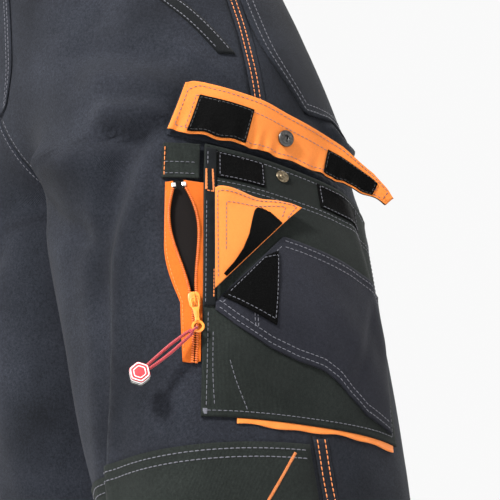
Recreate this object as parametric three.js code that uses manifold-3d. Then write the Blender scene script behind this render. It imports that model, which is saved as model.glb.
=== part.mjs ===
// Cut-protection forestry trousers, millimetres, +Z up, wearer facing -Y.
// The origin is the centre of the waist opening and the garment hangs down from it.
import * as THREE from 'three';
import Module from 'manifold-3d';

const wasm = await Module();
wasm.setup();

// ---------------------------------------------------------------- sizes
const GAP = 0.3;                 // clearance left between sewn or seated pieces
const CLOTH = 1.0;               // main cloth thickness
const WAIST_BAND = 38;           // height of the waistband
const INSEAM_TOP = -250;         // level of the crotch point
const RISE_TOP = -150;           // above this the body is one oval
const HEM = -1050;               // bottom edge of the legs
const CENTRE_GAP = 0.35;         // half gap between the left and right halves

// Leg sections: level, centre x, centre y, half width, half depth, squareness.
const LEG = [
  [HEM - 10, 190, 8, 78, 84, 2.1],
  [-680, 147, 0, 90, 99, 2.3],
  [-560, 132, 2, 97, 109, 2.4],
  [-430, 117, 5, 100, 115, 2.5],
  [-300, 101, 8, 100, 120, 2.5],
  [-240, 99.5, 9, 99, 121, 2.5],
];
// Hip sections: level, centre y, half width, half depth, squareness.
const HIP = [
  [-260, 10, 200, 126, 2.4],
  [-170, 10, 190, 124, 2.3],
  [-100, 6, 172, 118, 2.2],
  [-40, 2, 156, 112, 2.2],
  [0, 0, 150, 108, 2.2],
];

// Cargo pocket, in its own flat frame: p runs back along the bottom edge, q runs up.
const POCKET_AT = [-76.4, -472.4];   // bottom front corner: distance round the leg, level
const POCKET_TILT = 9 * Math.PI / 180;
const POCKET_W = 158;
const POCKET_H = 205;
const POCKET_TOP_FALL = 0.12;        // the mouth drops towards the back
const CANVAS = 1.2;
const POCKET_BULGE = [[0, 0], [40, 7], [100, 11], [150, 10.6], [205, 5.6]];
const POCKET_FRONT = [[0, 0], [30, 0.3], [60, 1.8], [90, 4.6], [175, 4.6], [205, 3.4]];

// Side-entry zip in front of the pocket.
const ZIP_REST = [-5.6, 82];     // slider position, pocket frame
const ZIP_TOP = [-17, 171];      // upper end of the opening
const ZIP_LIFT = 4.4;            // height of the zip plane over the leg
const ZIP_SINK = 2.9;            // the closed end comes down to the leg by this much
const ZIP_BELOW = 44;            // closed length under the slider
const ZIP_HALF = 8.8;            // half width of the open leaf
const TOOTH_W = 2.2;
const TOOTH_T = 2.4;
const TAPE_T = 0.9;

// Cargo flap, hinged above the pocket mouth.
const FLAP_L = 176;
const FLAP_T = 2.4;
const FLAP_H_FRONT = 42;
const FLAP_H_BACK = 26;
const FLAP_LIFT = 7.8;           // height of the crease over the leg
const FLAP_OPEN = 14 * Math.PI / 180;
const WELT = FLAP_LIFT - FLAP_T / 2 - GAP - 0.7;   // top of the welt under the crease

// Phone pocket and its flap on the face of the cargo pocket.
const PHONE_T = 1.0;
const PHONE_FLAP_T = 2.2;
const PHONE_TILT = 3 * Math.PI / 180;

// Snap fastener, hook and loop, cord.
const SNAP_R = 6.2;
const STUD_R = 4.8;
const SNAP_Q = 15;               // distance of the snap from the crease
const HOOK_T = 1.3;
const LOOP_T = 1.3;
const CORD_R = 1.1;
const CORD_L = 38;
const CHARM_R = 8;

// ---------------------------------------------------------------- helpers
const V = (x, y, z) => new THREE.Vector3(x, y, z);
const mix = (a, b, t) => a + (b - a) * t;
const clamp = (x, a, b) => Math.min(b, Math.max(a, x));

// Smooth value of a table at x: column 0 is the key, ascending.
function smooth(table, x, col) {
  const n = table.length;
  const t = clamp(x, table[0][0], table[n - 1][0]);
  let i = 0;
  while (i < n - 2 && t > table[i + 1][0]) i += 1;
  const slope = (j) => {
    const lo = table[Math.max(0, j - 1)];
    const hi = table[Math.min(n - 1, j + 1)];
    return (hi[col] - lo[col]) / (hi[0] - lo[0]);
  };
  const [a, b] = [table[i], table[i + 1]];
  const w = b[0] - a[0];
  const f = (t - a[0]) / w;
  const g = 1 - f;
  return a[col] * g * g * (1 + 2 * f) + b[col] * f * f * (1 + 2 * g)
    + slope(i) * w * f * g * g - slope(i + 1) * w * g * f * f;
}

function oval(cx, cy, a, b, n, th) {
  const [c, s] = [Math.cos(th), Math.sin(th)];
  const e = 2 / n;
  return [cx + a * Math.sign(c) * Math.abs(c) ** e, cy + b * Math.sign(s) * Math.abs(s) ** e];
}

// Angle round the hip oval that matches the middle of the leg's front or back.
const HIP_TURN = 62 * Math.PI / 180;
const ringStore = new Map();
const RING_STEPS = 120;
// One level of the left half: points from the side seam round to the inner edge.
function ring(z, side) {
  const key = `${z.toFixed(3)}${side}`;
  if (ringStore.has(key)) return ringStore.get(key);
  const L = [1, 2, 3, 4, 5].map((c) => smooth(LEG, z, c));
  const H = [1, 2, 3, 4].map((c) => smooth(HIP, z, c));
  const t = clamp((z - INSEAM_TOP) / (RISE_TOP - INSEAM_TOP), 0, 1);
  const seamCurve = Math.sqrt(Math.max(0, 1 - (1 - t) ** 2));
  const e = clamp((z - INSEAM_TOP + 40) / (RISE_TOP - INSEAM_TOP + 40), 0, 1);
  const easy = e * e * (3 - 2 * e);
  const pts = [];
  const arc = [0];
  for (let i = 0; i <= RING_STEPS; i += 1) {
    const u = i / RING_STEPS;
    const leg = oval(L[0], L[1], L[2], L[3], L[4], side * u * Math.PI);
    const turn = u < 0.5 ? 2 * u * HIP_TURN : mix(HIP_TURN, Math.PI / 2, 2 * u - 1);
    const hip = oval(0, H[0], H[1], H[2], H[3], side * turn);
    const inner = clamp(2 * u - 1, 0, 1) ** 2;
    const w = mix(easy, seamCurve, inner);
    const x = Math.max(CENTRE_GAP, mix(leg[0], hip[0], w));
    pts.push([x, mix(leg[1], hip[1], w)]);
    if (i) arc.push(arc[i - 1] + Math.hypot(x - pts[i - 1][0], pts[i][1] - pts[i - 1][1]));
  }
  ringStore.set(key, { pts, arc });
  return ringStore.get(key);
}
const reach = (z, side) => ring(z, side).arc[RING_STEPS];

// Point on the left half: a is the distance round from the side seam (back is
// positive), z the level and h the height out of the cloth.
function skin(a, z, h) {
  const side = a < 0 ? -1 : 1;
  const { pts, arc } = ring(z, side);
  const d = clamp(Math.abs(a), 0, arc[RING_STEPS]);
  let lo = 0;
  let hi = RING_STEPS;
  while (hi - lo > 1) {
    const m = (lo + hi) >> 1;
    if (arc[m] <= d) lo = m;
    else hi = m;
  }
  const f = (d - arc[lo]) / (arc[hi] - arc[lo] || 1);
  const at = (k) => pts[clamp(k, 0, RING_STEPS)];
  const normal = (k) => {
    const [p, q] = [at(k - 1), at(k + 1)];
    const [dx, dy] = [(q[0] - p[0]) * side, (q[1] - p[1]) * side];
    const l = Math.hypot(dx, dy) || 1;
    return [dy / l, -dx / l];
  };
  const [m, n] = [lo === 0 ? [1, 0] : normal(lo), normal(hi)];
  const nx = mix(m[0], n[0], f);
  const ny = mix(m[1], n[1], f);
  const l = Math.hypot(nx, ny) || 1;
  return V(mix(at(lo)[0], at(hi)[0], f) + h * nx / l, mix(at(lo)[1], at(hi)[1], f) + h * ny / l, z);
}

// Level list of a panel, closer together where the crotch curve turns.
function levels(top, bottom) {
  const list = [];
  for (const z of [-64, -90, -120, -150, -157, -172, -193, -218, -236, -250, -295, -340, -390,
    -440, -500, -560, -620, -690, -780, -900, HEM + 26]) {
    if (z < top - 8 && z > bottom + 8) list.push(z);
  }
  return [top, ...list, bottom];
}

function solid(positions, index) {
  const g = new THREE.BufferGeometry();
  g.setAttribute('position', new THREE.Float32BufferAttribute(positions, 3));
  g.setIndex(index);
  let v = 0;
  const P = (k) => V(positions[3 * k], positions[3 * k + 1], positions[3 * k + 2]);
  for (let i = 0; i < index.length; i += 3) {
    v += P(index[i]).dot(P(index[i + 1]).cross(P(index[i + 2])));
  }
  if (v < 0) {
    for (let i = 0; i < index.length; i += 3) {
      [index[i], index[i + 1]] = [index[i + 1], index[i]];
    }
    g.setIndex(index);
  }
  g.computeVertexNormals();
  return g;
}

// Closed sheet between two heights of the surface at(u, v, h), u and v from 0 to 1.
function sheet(at, nu, nv, h0, h1) {
  const val = (h, u, v) => (typeof h === 'function' ? h(u, v) : h);
  const pos = [];
  for (const h of [h0, h1]) {
    for (let j = 0; j <= nv; j += 1) {
      for (let i = 0; i <= nu; i += 1) {
        const p = at(i / nu, j / nv, val(h, i / nu, j / nv));
        pos.push(p.x, p.y, p.z);
      }
    }
  }
  const layer = (nu + 1) * (nv + 1);
  const id = (i, j, k) => k * layer + j * (nu + 1) + i;
  const idx = [];
  const quad = (a, b, c, d) => idx.push(a, b, c, a, c, d);
  for (let j = 0; j < nv; j += 1) {
    for (let i = 0; i < nu; i += 1) {
      quad(id(i, j, 1), id(i + 1, j, 1), id(i + 1, j + 1, 1), id(i, j + 1, 1));
      quad(id(i, j, 0), id(i, j + 1, 0), id(i + 1, j + 1, 0), id(i + 1, j, 0));
    }
  }
  for (let i = 0; i < nu; i += 1) {
    quad(id(i, 0, 0), id(i + 1, 0, 0), id(i + 1, 0, 1), id(i, 0, 1));
    quad(id(i + 1, nv, 0), id(i, nv, 0), id(i, nv, 1), id(i + 1, nv, 1));
  }
  for (let j = 0; j < nv; j += 1) {
    quad(id(nu, j, 0), id(nu, j + 1, 0), id(nu, j + 1, 1), id(nu, j, 1));
    quad(id(0, j + 1, 0), id(0, j, 0), id(0, j, 1), id(0, j + 1, 1));
  }
  return solid(pos, idx);
}

// Frame with its origin at o, its x and y along the given directions.
function frameAt(o, x, n) {
  const z = n.clone().normalize();
  const y = z.clone().cross(x).normalize();
  const xx = y.clone().cross(z).normalize();
  return new THREE.Matrix4().makeBasis(xx, y, z).setPosition(o);
}
const local = (frame, x, y, z) => V(x, y, z).applyMatrix4(frame);

// Flat plate of the given outline in a frame, between two heights.
function plate(frame, outline, z0, z1, holes = []) {
  const shape = new THREE.Shape(outline.map(([x, y]) => new THREE.Vector2(x, y)));
  for (const ringPts of holes) {
    shape.holes.push(new THREE.Path(ringPts.map(([x, y]) => new THREE.Vector2(x, y))));
  }
  const g = new THREE.ExtrudeGeometry(shape, { depth: z1 - z0, bevelEnabled: false, steps: 1 });
  g.translate(0, 0, z0);
  return g.applyMatrix4(frame);
}
const circle = (cx, cy, r, n) => Array.from({ length: n }, (_, i) => {
  const t = 2 * Math.PI * i / n;
  return [cx + r * Math.cos(t), cy + r * Math.sin(t)];
});
const box = (x0, x1, y0, y1) => [[x0, y0], [x1, y0], [x1, y1], [x0, y1]];

// Turned piece on the frame's z axis: profile of [radius, height].
function turned(frame, profile, n = 24) {
  const g = new THREE.LatheGeometry(profile.map(([r, z]) => new THREE.Vector2(r, z)), n);
  g.rotateX(Math.PI / 2);
  return g.applyMatrix4(frame);
}

function tube(points, r, sides, steps) {
  const shape = new THREE.Shape(circle(0, 0, r, sides).map(([x, y]) => new THREE.Vector2(x, y)));
  const path = new THREE.CatmullRomCurve3(points);
  return new THREE.ExtrudeGeometry(shape, { steps, extrudePath: path, bevelEnabled: false });
}

// Joined solid of several geometries.
function joined(list) {
  const parts = list.map((g) => {
    const flat = g.index ? g.toNonIndexed() : g;
    const p = flat.getAttribute('position').array;
    const seen = new Map();
    const verts = [];
    const tris = [];
    for (let i = 0; i < p.length; i += 3) {
      const key = [0, 1, 2].map((k) => Math.round(p[i + k] * 1e4)).join();
      if (!seen.has(key)) {
        seen.set(key, verts.length / 3);
        verts.push(p[i], p[i + 1], p[i + 2]);
      }
      tris.push(seen.get(key));
    }
    const keep = [];
    for (let i = 0; i < tris.length; i += 3) {
      const [a, b, c] = tris.slice(i, i + 3);
      if (a !== b && b !== c && c !== a) keep.push(a, b, c);
    }
    return new wasm.Manifold(new wasm.Mesh({
      numProp: 3, vertProperties: new Float32Array(verts), triVerts: new Uint32Array(keep),
    }));
  });
  const m = wasm.Manifold.union(parts).getMesh();
  return solid(Array.from(m.vertProperties), Array.from(m.triVerts));
}

const group = new THREE.Group();
group.name = 'forestry_trousers';
function add(name, geometry, colour, roughness = 0.9, metalness = 0) {
  const material = new THREE.MeshStandardMaterial({ color: colour, roughness, metalness });
  const mesh = new THREE.Mesh(geometry, material);
  mesh.name = name;
  group.add(mesh);
}
function mirrored(geometry) {
  const p = Array.from(geometry.getAttribute('position').array);
  for (let i = 0; i < p.length; i += 3) p[i] = -p[i];
  const n = p.length / 3;
  const idx = geometry.index ? Array.from(geometry.index.array) : Array.from({ length: n }, (_, i) => i);
  return solid(p, idx);
}
function pair(name, geometry, colour) {
  add(`${name}_left`, geometry, colour);
  add(`${name}_right`, mirrored(geometry), colour);
}

const CHARCOAL = 0x343a42;
const DARK = 0x22282a;
const CANVAS_GREEN = 0x2b322d;
const NAVY = 0x31323c;
const ORANGE = 0xf5862a;
const BLACK = 0x0c0c0d;

// ---------------------------------------------------------------- garment
const PANEL_TOP = -WAIST_BAND - GAP;
function panel(side) {
  const rows = levels(PANEL_TOP, HEM);
  const at = (u, v, h) => {
    const z = rows[Math.round(v * (rows.length - 1))];
    const a0 = GAP / 2;
    const a1 = reach(z, side) - GAP / 2;
    return skin(side * mix(a0, a1, u), z, h);
  };
  return sheet(at, 13, rows.length - 1, -CLOTH, 0);
}
pair('front_panel', panel(-1), CHARCOAL);
pair('back_panel', panel(1), CHARCOAL);

// Point of the whole ring at a level: t from 0 (front centre, left side) round
// the back to 1 (front centre, right side).
function wholeRing(t, z, h) {
  const [f, b] = [reach(z, -1), reach(z, 1)];
  const d = (t <= 0.5 ? t : 1 - t) * 2 * (f + b);
  const p = skin(d < f ? -(f - d) : d - f, z, h);
  return t <= 0.5 ? p : V(-p.x, p.y, p.z);
}
add('waistband', sheet((u, v, h) => wholeRing(mix(0.0012, 0.9988, u), mix(0, -WAIST_BAND, v), h),
  48, 1, -1.5, 1.5), DARK);

// Belt loops stand off the waistband so that a belt passes behind them.
const LOOP_OUT = 9;
const LOOP_W = 10;
const LOOPS = [-0.76, -0.04, 0.74];
LOOPS.forEach((f, k) => {
  const mid = f < 0 ? f * reach(-20, -1) : f * reach(-20, 1);
  const rise = (v) => GAP + 1.5 + (LOOP_OUT - 1.8) * Math.min(1, 3.2 * Math.sin(Math.PI * v) ** 2);
  const at = (u, v, h) => skin(mid + mix(-LOOP_W / 2, LOOP_W / 2, u), mix(-2, -36, v), h);
  pair(`belt_loop_${['front', 'side', 'back'][k]}`, sheet(at, 2, 10, (u, v) => rise(v),
    (u, v) => rise(v) + 1.2), CHARCOAL);
});

// Button and fly.
const frontAt = (x, z, h) => skin(-(reach(z, -1) - Math.max(0, x - CENTRE_GAP)), z, h);
const buttonAt = frontAt(15, -19, 1.5 + GAP + 0.6);
add('waist_button', turned(frameAt(buttonAt, V(1, 0, 0), V(0.04, -1, -0.05)),
  [[0, 0], [8.5, 0], [8.5, 2], [7.5, 3], [5.5, 2.4], [0, 2.4]], 24), 0x4a4a4c, 0.5, 0.3);
const FLY_W = 38;
const FLY_BOTTOM = -168;
function flyPlacket(u, v, h) {
  const z = mix(PANEL_TOP - 2, FLY_BOTTOM, v);
  const round = clamp((z - FLY_BOTTOM) / 40, 0, 1);
  const w = mix(7, FLY_W, Math.sqrt(1 - (1 - round) ** 2));
  return frontAt(mix(CENTRE_GAP + 1, w, u), z, h);
}
add('fly_placket', sheet(flyPlacket, 4, 10, GAP, GAP + 1.2), CHARCOAL);
const flyTop = V(0, frontAt(1, PANEL_TOP, 0).y, PANEL_TOP - 6);
const flyLow = V(0, frontAt(1, FLY_BOTTOM, 0).y, FLY_BOTTOM + 8);
const flyUp = flyTop.clone().sub(flyLow).normalize();
const FLY_LEN = flyTop.distanceTo(flyLow);
const FLY_DEPTH = 1.7;               // the tape lies this far behind the front panels
const FLY_TAPE_T = 0.9;
// Frame: x to the wearer's left, y up the fly, z into the garment.
const flyFrame = new THREE.Matrix4()
  .makeBasis(V(-1, 0, 0), flyUp, V(-1, 0, 0).cross(flyUp).normalize()).setPosition(flyLow);
add('fly_zip_tape', plate(flyFrame, box(-14, 14, 0, FLY_LEN), FLY_DEPTH, FLY_DEPTH + FLY_TAPE_T), DARK);
const flyBack = FLY_DEPTH + FLY_TAPE_T + GAP;
add('fly_zip_slider', plate(flyFrame, box(-4, 4, FLY_LEN - 14, FLY_LEN - 4), flyBack, flyBack + 3),
  0x7d7a70, 0.4, 0.8);

// Front pocket welts and bags.
function strip(a0, z0, a1, z1, w0, h0, h1, nv = 10) {
  const at = (u, v, h) => skin(mix(a0, a1, v) + mix(-w0 / 2, w0 / 2, u), mix(z0, z1, v), h);
  return sheet(at, 2, nv, h0, h1);
}
pair('front_pocket_welt', strip(-100, PANEL_TOP - 3, -14, -192, 14, GAP + 0.2, GAP + 1.3), DARK);
pair('front_pocket_bag', sheet((u, v, h) => {
  const z = mix(PANEL_TOP - 6, -225, v);
  return skin(mix(-12, -128 * (1 - 0.35 * v * v), u), z, h);
}, 8, 8, -3.1, -2.3), 0x3c3c3c);

// Back pockets, front edge curved.
const BACK_EDGE = [[-236, 48], [-222, 40], [-183, 18], [-150, 12], [-104, 10]];
pair('back_pocket', sheet((u, v, h) => {
  const z = mix(-104, -236, v);
  return skin(mix(smooth(BACK_EDGE, z, 1), 150, u), z, h);
}, 8, 8, (u, v) => GAP + 0.2 + 1.6 * Math.sin(Math.PI * u) * (1 - v),
(u, v) => GAP + 1.4 + 1.6 * Math.sin(Math.PI * u) * (1 - v)), CHARCOAL);

// Knee patches, hems, cut-protection pads.
const KNEE_TOP = -489;
const KNEE_ROWS = [-528, -560, -620, -690, -780];
pair('knee_patch', sheet((u, v, h) => {
  const dip = 11 * (2 * u - 0.9) ** 2;
  const k = Math.round(v * KNEE_ROWS.length);
  const z = k ? KNEE_ROWS[k - 1] : KNEE_TOP - dip;
  return skin(-mix(4, reach(z, -1) - 4, u), z, h);
}, 13, KNEE_ROWS.length, GAP + 0.15, GAP + 1.2), CANVAS_GREEN);
pair('hem_band', sheet((u, v, h) => {
  const z = mix(HEM + 26, HEM + 1, v);
  const [f, b] = [reach(z, -1), reach(z, 1)];
  const a = mix(-f + 0.4, b - 0.4, u);
  return skin(a, z, h);
}, 26, 1, GAP, GAP + 1.1), CHARCOAL);
pair('protective_pad', sheet((u, v, h) => {
  const z = mix(-285, HEM + 45, v);
  return skin(-mix(12, reach(z, -1) - 12, u), z, h);
}, 10, 12, -6.2, -2.8), 0xb9b48f);

// ---------------------------------------------------------------- cargo pocket
const [CT, ST] = [Math.cos(POCKET_TILT), Math.sin(POCKET_TILT)];
const onLeg = (p, q, h) => skin(POCKET_AT[0] + p * CT + q * ST, POCKET_AT[1] - p * ST + q * CT, h);
const mouth = (p) => POCKET_H - POCKET_TOP_FALL * clamp(p, 0, POCKET_W);
// Height of the pocket's inner face over the leg.
function stand(p, q) {
  const u = clamp(p / POCKET_W, 0, 1);
  const k = clamp(q / mouth(p), 0, 1) * POCKET_H;
  const front = smooth(POCKET_FRONT, k, 1) * (1 - u) ** 2;
  const bulge = smooth(POCKET_BULGE, k, 1) * Math.sin(Math.PI * u) ** 0.8;
  return GAP + front + bulge;
}
const onFace = (p, q, h) => onLeg(p, q, stand(p, q) + CANVAS + h);
add('cargo_pocket', sheet((u, v, h) => {
  const p = u * POCKET_W;
  const q = v * mouth(p);
  return onLeg(p, q, stand(p, q) + h);
}, 18, 14, 0, CANVAS), CANVAS_GREEN);
add('pocket_lining', sheet((u, v, h) => onLeg(mix(26, 152, u), mix(-5.5, -GAP, v), h), 12, 1,
  GAP, GAP + 1), ORANGE);
add('front_binding', sheet((u, v, h) => onFace(mix(0.6, 8, u), mix(78, mouth(0) - 3, v), h),
  2, 12, GAP, GAP + 1), DARK);

// Loop patches under the cargo flap.
const HOOK_W = 44;
const HOOK_H = 21;
const patchOnFace = (p0, p1, q0, q1, h0, t, nu = 5, nv = 3) => sheet(
  (u, v, h) => onFace(mix(p0, p1, u), mix(q0, q1, v) - POCKET_TOP_FALL * mix(p0, p1, u), h),
  nu, nv, h0, h0 + t);
add('loop_patch_front', patchOnFace(9, 9 + 34, 180, 201, GAP, LOOP_T), BLACK);
add('loop_patch_rear', patchOnFace(88, 88 + 44, 180, 201, GAP, LOOP_T), BLACK);

// Snap stud on the pocket.
const studAt = [58, mouth(58) - 10];
const faceNormal = (p, q) => {
  const a = onFace(p + 2, q, 0).sub(onFace(p - 2, q, 0));
  const b = onFace(p, q + 2, 0).sub(onFace(p, q - 2, 0));
  return a.cross(b).normalize();
};
const studFrame = frameAt(onFace(studAt[0], studAt[1], GAP), V(0, 1, 0), faceNormal(...studAt));
add('snap_stud', turned(studFrame, [[0, 0], [STUD_R, 0], [STUD_R, 0.5], [3.6, 0.9], [1.9, 0.9],
  [1.6, 1.9], [1.9, 2.3], [1.3, 2.7], [0, 2.7]], 24), 0x8a7350, 0.35, 0.9);

// Phone pocket: a skewed patch, mouth along its upper front edge.
const PHONE_LOW = [[7, 76], [22, 64], [45, 50], [64, 43], [84, 39], [96, 33], [106, 25], [122, 14], [150, 7]];
const PHONE_UP = [[7, 80], [54, 136], [66, 134], [97, 127], [150, 116]];
function straight(table, x) {
  let i = 0;
  while (i < table.length - 2 && x > table[i + 1][0]) i += 1;
  const [a, b] = [table[i], table[i + 1]];
  return mix(a[1], b[1], clamp((x - a[0]) / (b[0] - a[0]), 0, 1));
}
const PHONE_END = 150;
const phoneCols = [9, 14, 22, 32, 43, 54, 64, 74, 85, 97, 108, 122, 136, PHONE_END];
const phoneLift = (u, v) => GAP + 0.3 + 1.6 * Math.sin(Math.PI * v) * Math.sin(Math.PI * Math.min(1, 0.1 + u));
const phoneAt = (u, v, h) => {
  const p = phoneCols[Math.round(u * (phoneCols.length - 1))];
  return onFace(p, mix(straight(PHONE_LOW, p), straight(PHONE_UP, p), v), h);
};
add('phone_pocket', sheet(phoneAt, phoneCols.length - 1, 6, (u, v) => phoneLift(u, v),
  (u, v) => phoneLift(u, v) + PHONE_T), NAVY);
add('phone_loop_patch', sheet((u, v, h) => {
  const p = mix(mix(17, 40, v), mix(36, 56, v), u);
  const q = mix(mix(84, 112, v), mix(64, 96, v), u);
  return onFace(p, q, h);
}, 4, 4, GAP + 2.2 + PHONE_T, GAP + 2.2 + PHONE_T + LOOP_T), BLACK);

// Panel over the upper end of the zip.
add('tab_panel', sheet((u, v, h) => onLeg(mix(-29, -3, u), mix(177.5, 205, v), h), 4, 3,
  (u) => GAP + 2.6 * u, (u) => GAP + 1.2 + 2.6 * u), CANVAS_GREEN);

// ---------------------------------------------------------------- side zip
const zipA = onLeg(ZIP_REST[0], ZIP_REST[1], ZIP_LIFT);
const zipB = onLeg(ZIP_TOP[0], ZIP_TOP[1], ZIP_LIFT);
const zipMid = [mix(ZIP_REST[0], ZIP_TOP[0], 0.3), mix(ZIP_REST[1], ZIP_TOP[1], 0.3)];
const zipNormal = onLeg(zipMid[0], zipMid[1], 10).sub(onLeg(zipMid[0], zipMid[1], 0));
// Frame: x up along the zip, y across (towards the front), z out.
const zipUp = zipB.clone().sub(zipA).normalize();
const zipOut = zipNormal.clone().addScaledVector(zipUp, -zipNormal.dot(zipUp)).normalize();
const zipFrame = frameAt(zipA, zipUp, zipOut);
const ZIP_LEN = zipA.distanceTo(zipB);
const ZIP_START = 6.5;               // the rows part this far above the slider centre
function leaf(x) {
  if (x < -1) return 0.25;
  if (x < ZIP_START) return mix(0.25, 1.25, (x + 1) / (ZIP_START + 1));
  const t = (x - ZIP_START) / (ZIP_LEN - ZIP_START);
  return 1.25 + (ZIP_HALF - 1.25) * Math.sin(Math.PI * t ** 1.5) + 1.3 * t ** 3;
}
// The closed end curves forward under the slider and comes down to the leg.
const closed = (x) => (x < 0 ? (-x / ZIP_BELOW) ** 1.4 : 0);
const bend = (x) => 5.2 * closed(x);
const sink = (x) => -ZIP_SINK * closed(x);
const zipXs = [];
for (let i = 0; i <= 8; i += 1) zipXs.push(mix(-ZIP_BELOW, -1, i / 8));
for (let i = 0; i <= 18; i += 1) zipXs.push(mix(ZIP_START - 3, ZIP_LEN - 2, i / 18));
const zipRow = (sgn) => sheet((u, v, h) => {
  const x = zipXs[Math.round(v * (zipXs.length - 1))];
  return local(zipFrame, x, bend(x) + sgn * (leaf(x) + u * TOOTH_W), sink(x) + h);
}, 1, zipXs.length - 1, -TOOTH_T / 2, TOOTH_T / 2);
add('zip_teeth_front', zipRow(1), ORANGE, 0.5);
add('zip_teeth_rear', zipRow(-1), ORANGE, 0.5);

// Tapes: in front they run from the row out to the leg. Behind, the tape goes under
// the pocket's front edge, and beside the closed end it stops short of that edge.
function tapeFront(x, q) {
  const out = x < 0 ? mix(15, 13, closed(x)) : 15 + 11.5 * Math.sin(Math.min(1, x / 45) * Math.PI / 2);
  return onLeg(-out, q, GAP + TAPE_T / 2);
}
function tapeRear(p0, p1, x, q) {
  const drop = clamp((q - 58) / 7, 0, 1);
  const slip = clamp((q - 65) / 7, 0, 1);
  const seat = stand(0, q) - GAP - 0.1 - TAPE_T / 2;
  return onLeg(mix(p0, p1, slip), q, mix(ZIP_LIFT + sink(x), seat, drop));
}
const zipTape = (sgn) => sheet((u, v, h) => {
  const x = zipXs[Math.round(v * (zipXs.length - 1))];
  const q = mix(ZIP_REST[1], ZIP_TOP[1], x / ZIP_LEN);
  const inner = local(zipFrame, x, bend(x) + sgn * (leaf(x) + TOOTH_W + GAP), sink(x));
  const outer = sgn > 0 ? tapeFront(x, q) : tapeRear(-0.8, 2.2, x, q);
  const knee = sgn > 0 ? inner.clone().lerp(outer, 0.5) : tapeRear(-1.5, -0.7, x, q);
  const at = u < 0.5 ? inner.lerp(knee, 2 * u) : knee.lerp(outer, 2 * u - 1);
  return at.addScaledVector(zipOut, h);
}, 4, zipXs.length - 1, -TAPE_T / 2, TAPE_T / 2);
add('zip_tape_front', zipTape(1), ORANGE);
add('zip_tape_rear', zipTape(-1), ORANGE);
for (const sgn of [1, -1]) {
  const y = sgn * (leaf(ZIP_LEN) + TOOTH_W / 2);
  const outline = box(ZIP_LEN - 1.6, ZIP_LEN + 1.6, y - 1.5, y + 1.5);
  add(sgn > 0 ? 'zip_stop_front' : 'zip_stop_rear', plate(zipFrame, outline, -1.4, 1.4), 0xd8d8d4, 0.4, 0.5);
}

// Slider: two plates joined by a post, with an arch on top that holds the puller.
const PLATE_GAP = TOOTH_T / 2 + GAP;
const PLATE_T = 1.1;
const PIN_Z = PLATE_GAP + PLATE_T + 2.2;
const bodyOutline = [[-5.5, -3.6], [2, -4.4], [5.5, -3.4], [6.2, 0], [5.5, 3.4], [2, 4.4], [-5.5, 3.6]];
const side3 = (x0, x1, z0, z1, hw) => plate(zipFrame, box(x0, x1, -hw, hw), z0, z1);
add('zip_slider', joined([
  plate(zipFrame, bodyOutline, PLATE_GAP, PLATE_GAP + PLATE_T),
  plate(zipFrame, bodyOutline.map(([x, y]) => [x, 0.72 * y]), -PLATE_GAP - PLATE_T, -PLATE_GAP),
  side3(4.6, 6, -PLATE_GAP - 0.2, PLATE_GAP + 0.2, 0.7),
  side3(-4, -2.8, PLATE_GAP + 0.5, PIN_Z + 2.2, 1.1),
  side3(2.8, 4, PLATE_GAP + 0.5, PIN_Z + 2.2, 1.1),
  side3(-4, 4, PIN_Z + 1.2, PIN_Z + 2.2, 1.1),
]), 0xf09a2c, 0.4, 0.3);

// Puller: a frame round the arch, a flat stem and an eye.
const EYE_X = -21;
const EYE_R = 4.5;
const EYE_HOLE = 2.5;
const PULL_T = 1.2;
const pz = [PIN_Z - PULL_T / 2, PIN_Z + PULL_T / 2];
add('zip_puller', joined([
  plate(zipFrame, box(-8, 0.7, -3.2, 3.2), ...pz, [box(-6, -0.7, -1.8, 1.8)]),
  plate(zipFrame, box(-17.5, -7.5, -2.2, 2.2), ...pz),
  plate(zipFrame, circle(EYE_X, 0, EYE_R, 24), ...pz, [circle(EYE_X, 0, EYE_HOLE, 20)]),
]), 0xf09a2c, 0.4, 0.2);

// Cord loop through the eye, two strands and the charm.
const CORD_DIR = [-0.57, 0.82];
const band = (EYE_R + EYE_HOLE) / 2;
const hitchAt = local(zipFrame, EYE_X + CORD_DIR[0] * band, CORD_DIR[1] * band, PIN_Z);
const zipX = V(1, 0, 0).transformDirection(zipFrame);
const zipY = V(0, 1, 0).transformDirection(zipFrame);
const zipZ = V(0, 0, 1).transformDirection(zipFrame);
const cordDir = zipX.clone().multiplyScalar(CORD_DIR[0]).addScaledVector(zipY, CORD_DIR[1]).normalize();
const across = zipZ.clone().cross(cordDir).normalize();
const HITCH_OUT = 3.3 + GAP;
const hitch = new THREE.TorusGeometry(2.4, 0.9, 10, 20);
hitch.applyMatrix4(frameAt(hitchAt, cordDir, across));
add('cord_hitch', hitch, 0xc0282e);
const charmAt = hitchAt.clone().addScaledVector(cordDir, HITCH_OUT + CORD_L + GAP + CHARM_R - 1).addScaledVector(zipZ, 0.4);
for (const sgn of [1, -1]) {
  const pts = [0, 0.15, 0.4, 0.7, 1].map((t) => hitchAt.clone()
    .addScaledVector(cordDir, HITCH_OUT + CORD_L * t)
    .addScaledVector(across, sgn * (1.35 + 0.9 * Math.sin(Math.PI * t)))
    .addScaledVector(zipZ, 0.4 * Math.sin(Math.PI * t * 2)));
  add(sgn > 0 ? 'cord_strand_upper' : 'cord_strand_lower', tube(pts, CORD_R, 8, 16), 0xc8323a);
}
const charmFrame = frameAt(charmAt, cordDir, zipZ);
const charmBody = turned(charmFrame, [[0, -4.6], [CHARM_R - 1.4, -4.6], [CHARM_R, -3.6], [CHARM_R, 3.2],
  [CHARM_R - 1.2, 4.4], [0, 4.4]], 6);
add('pull_charm', charmBody, 0xb3262c, 0.5);

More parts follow.
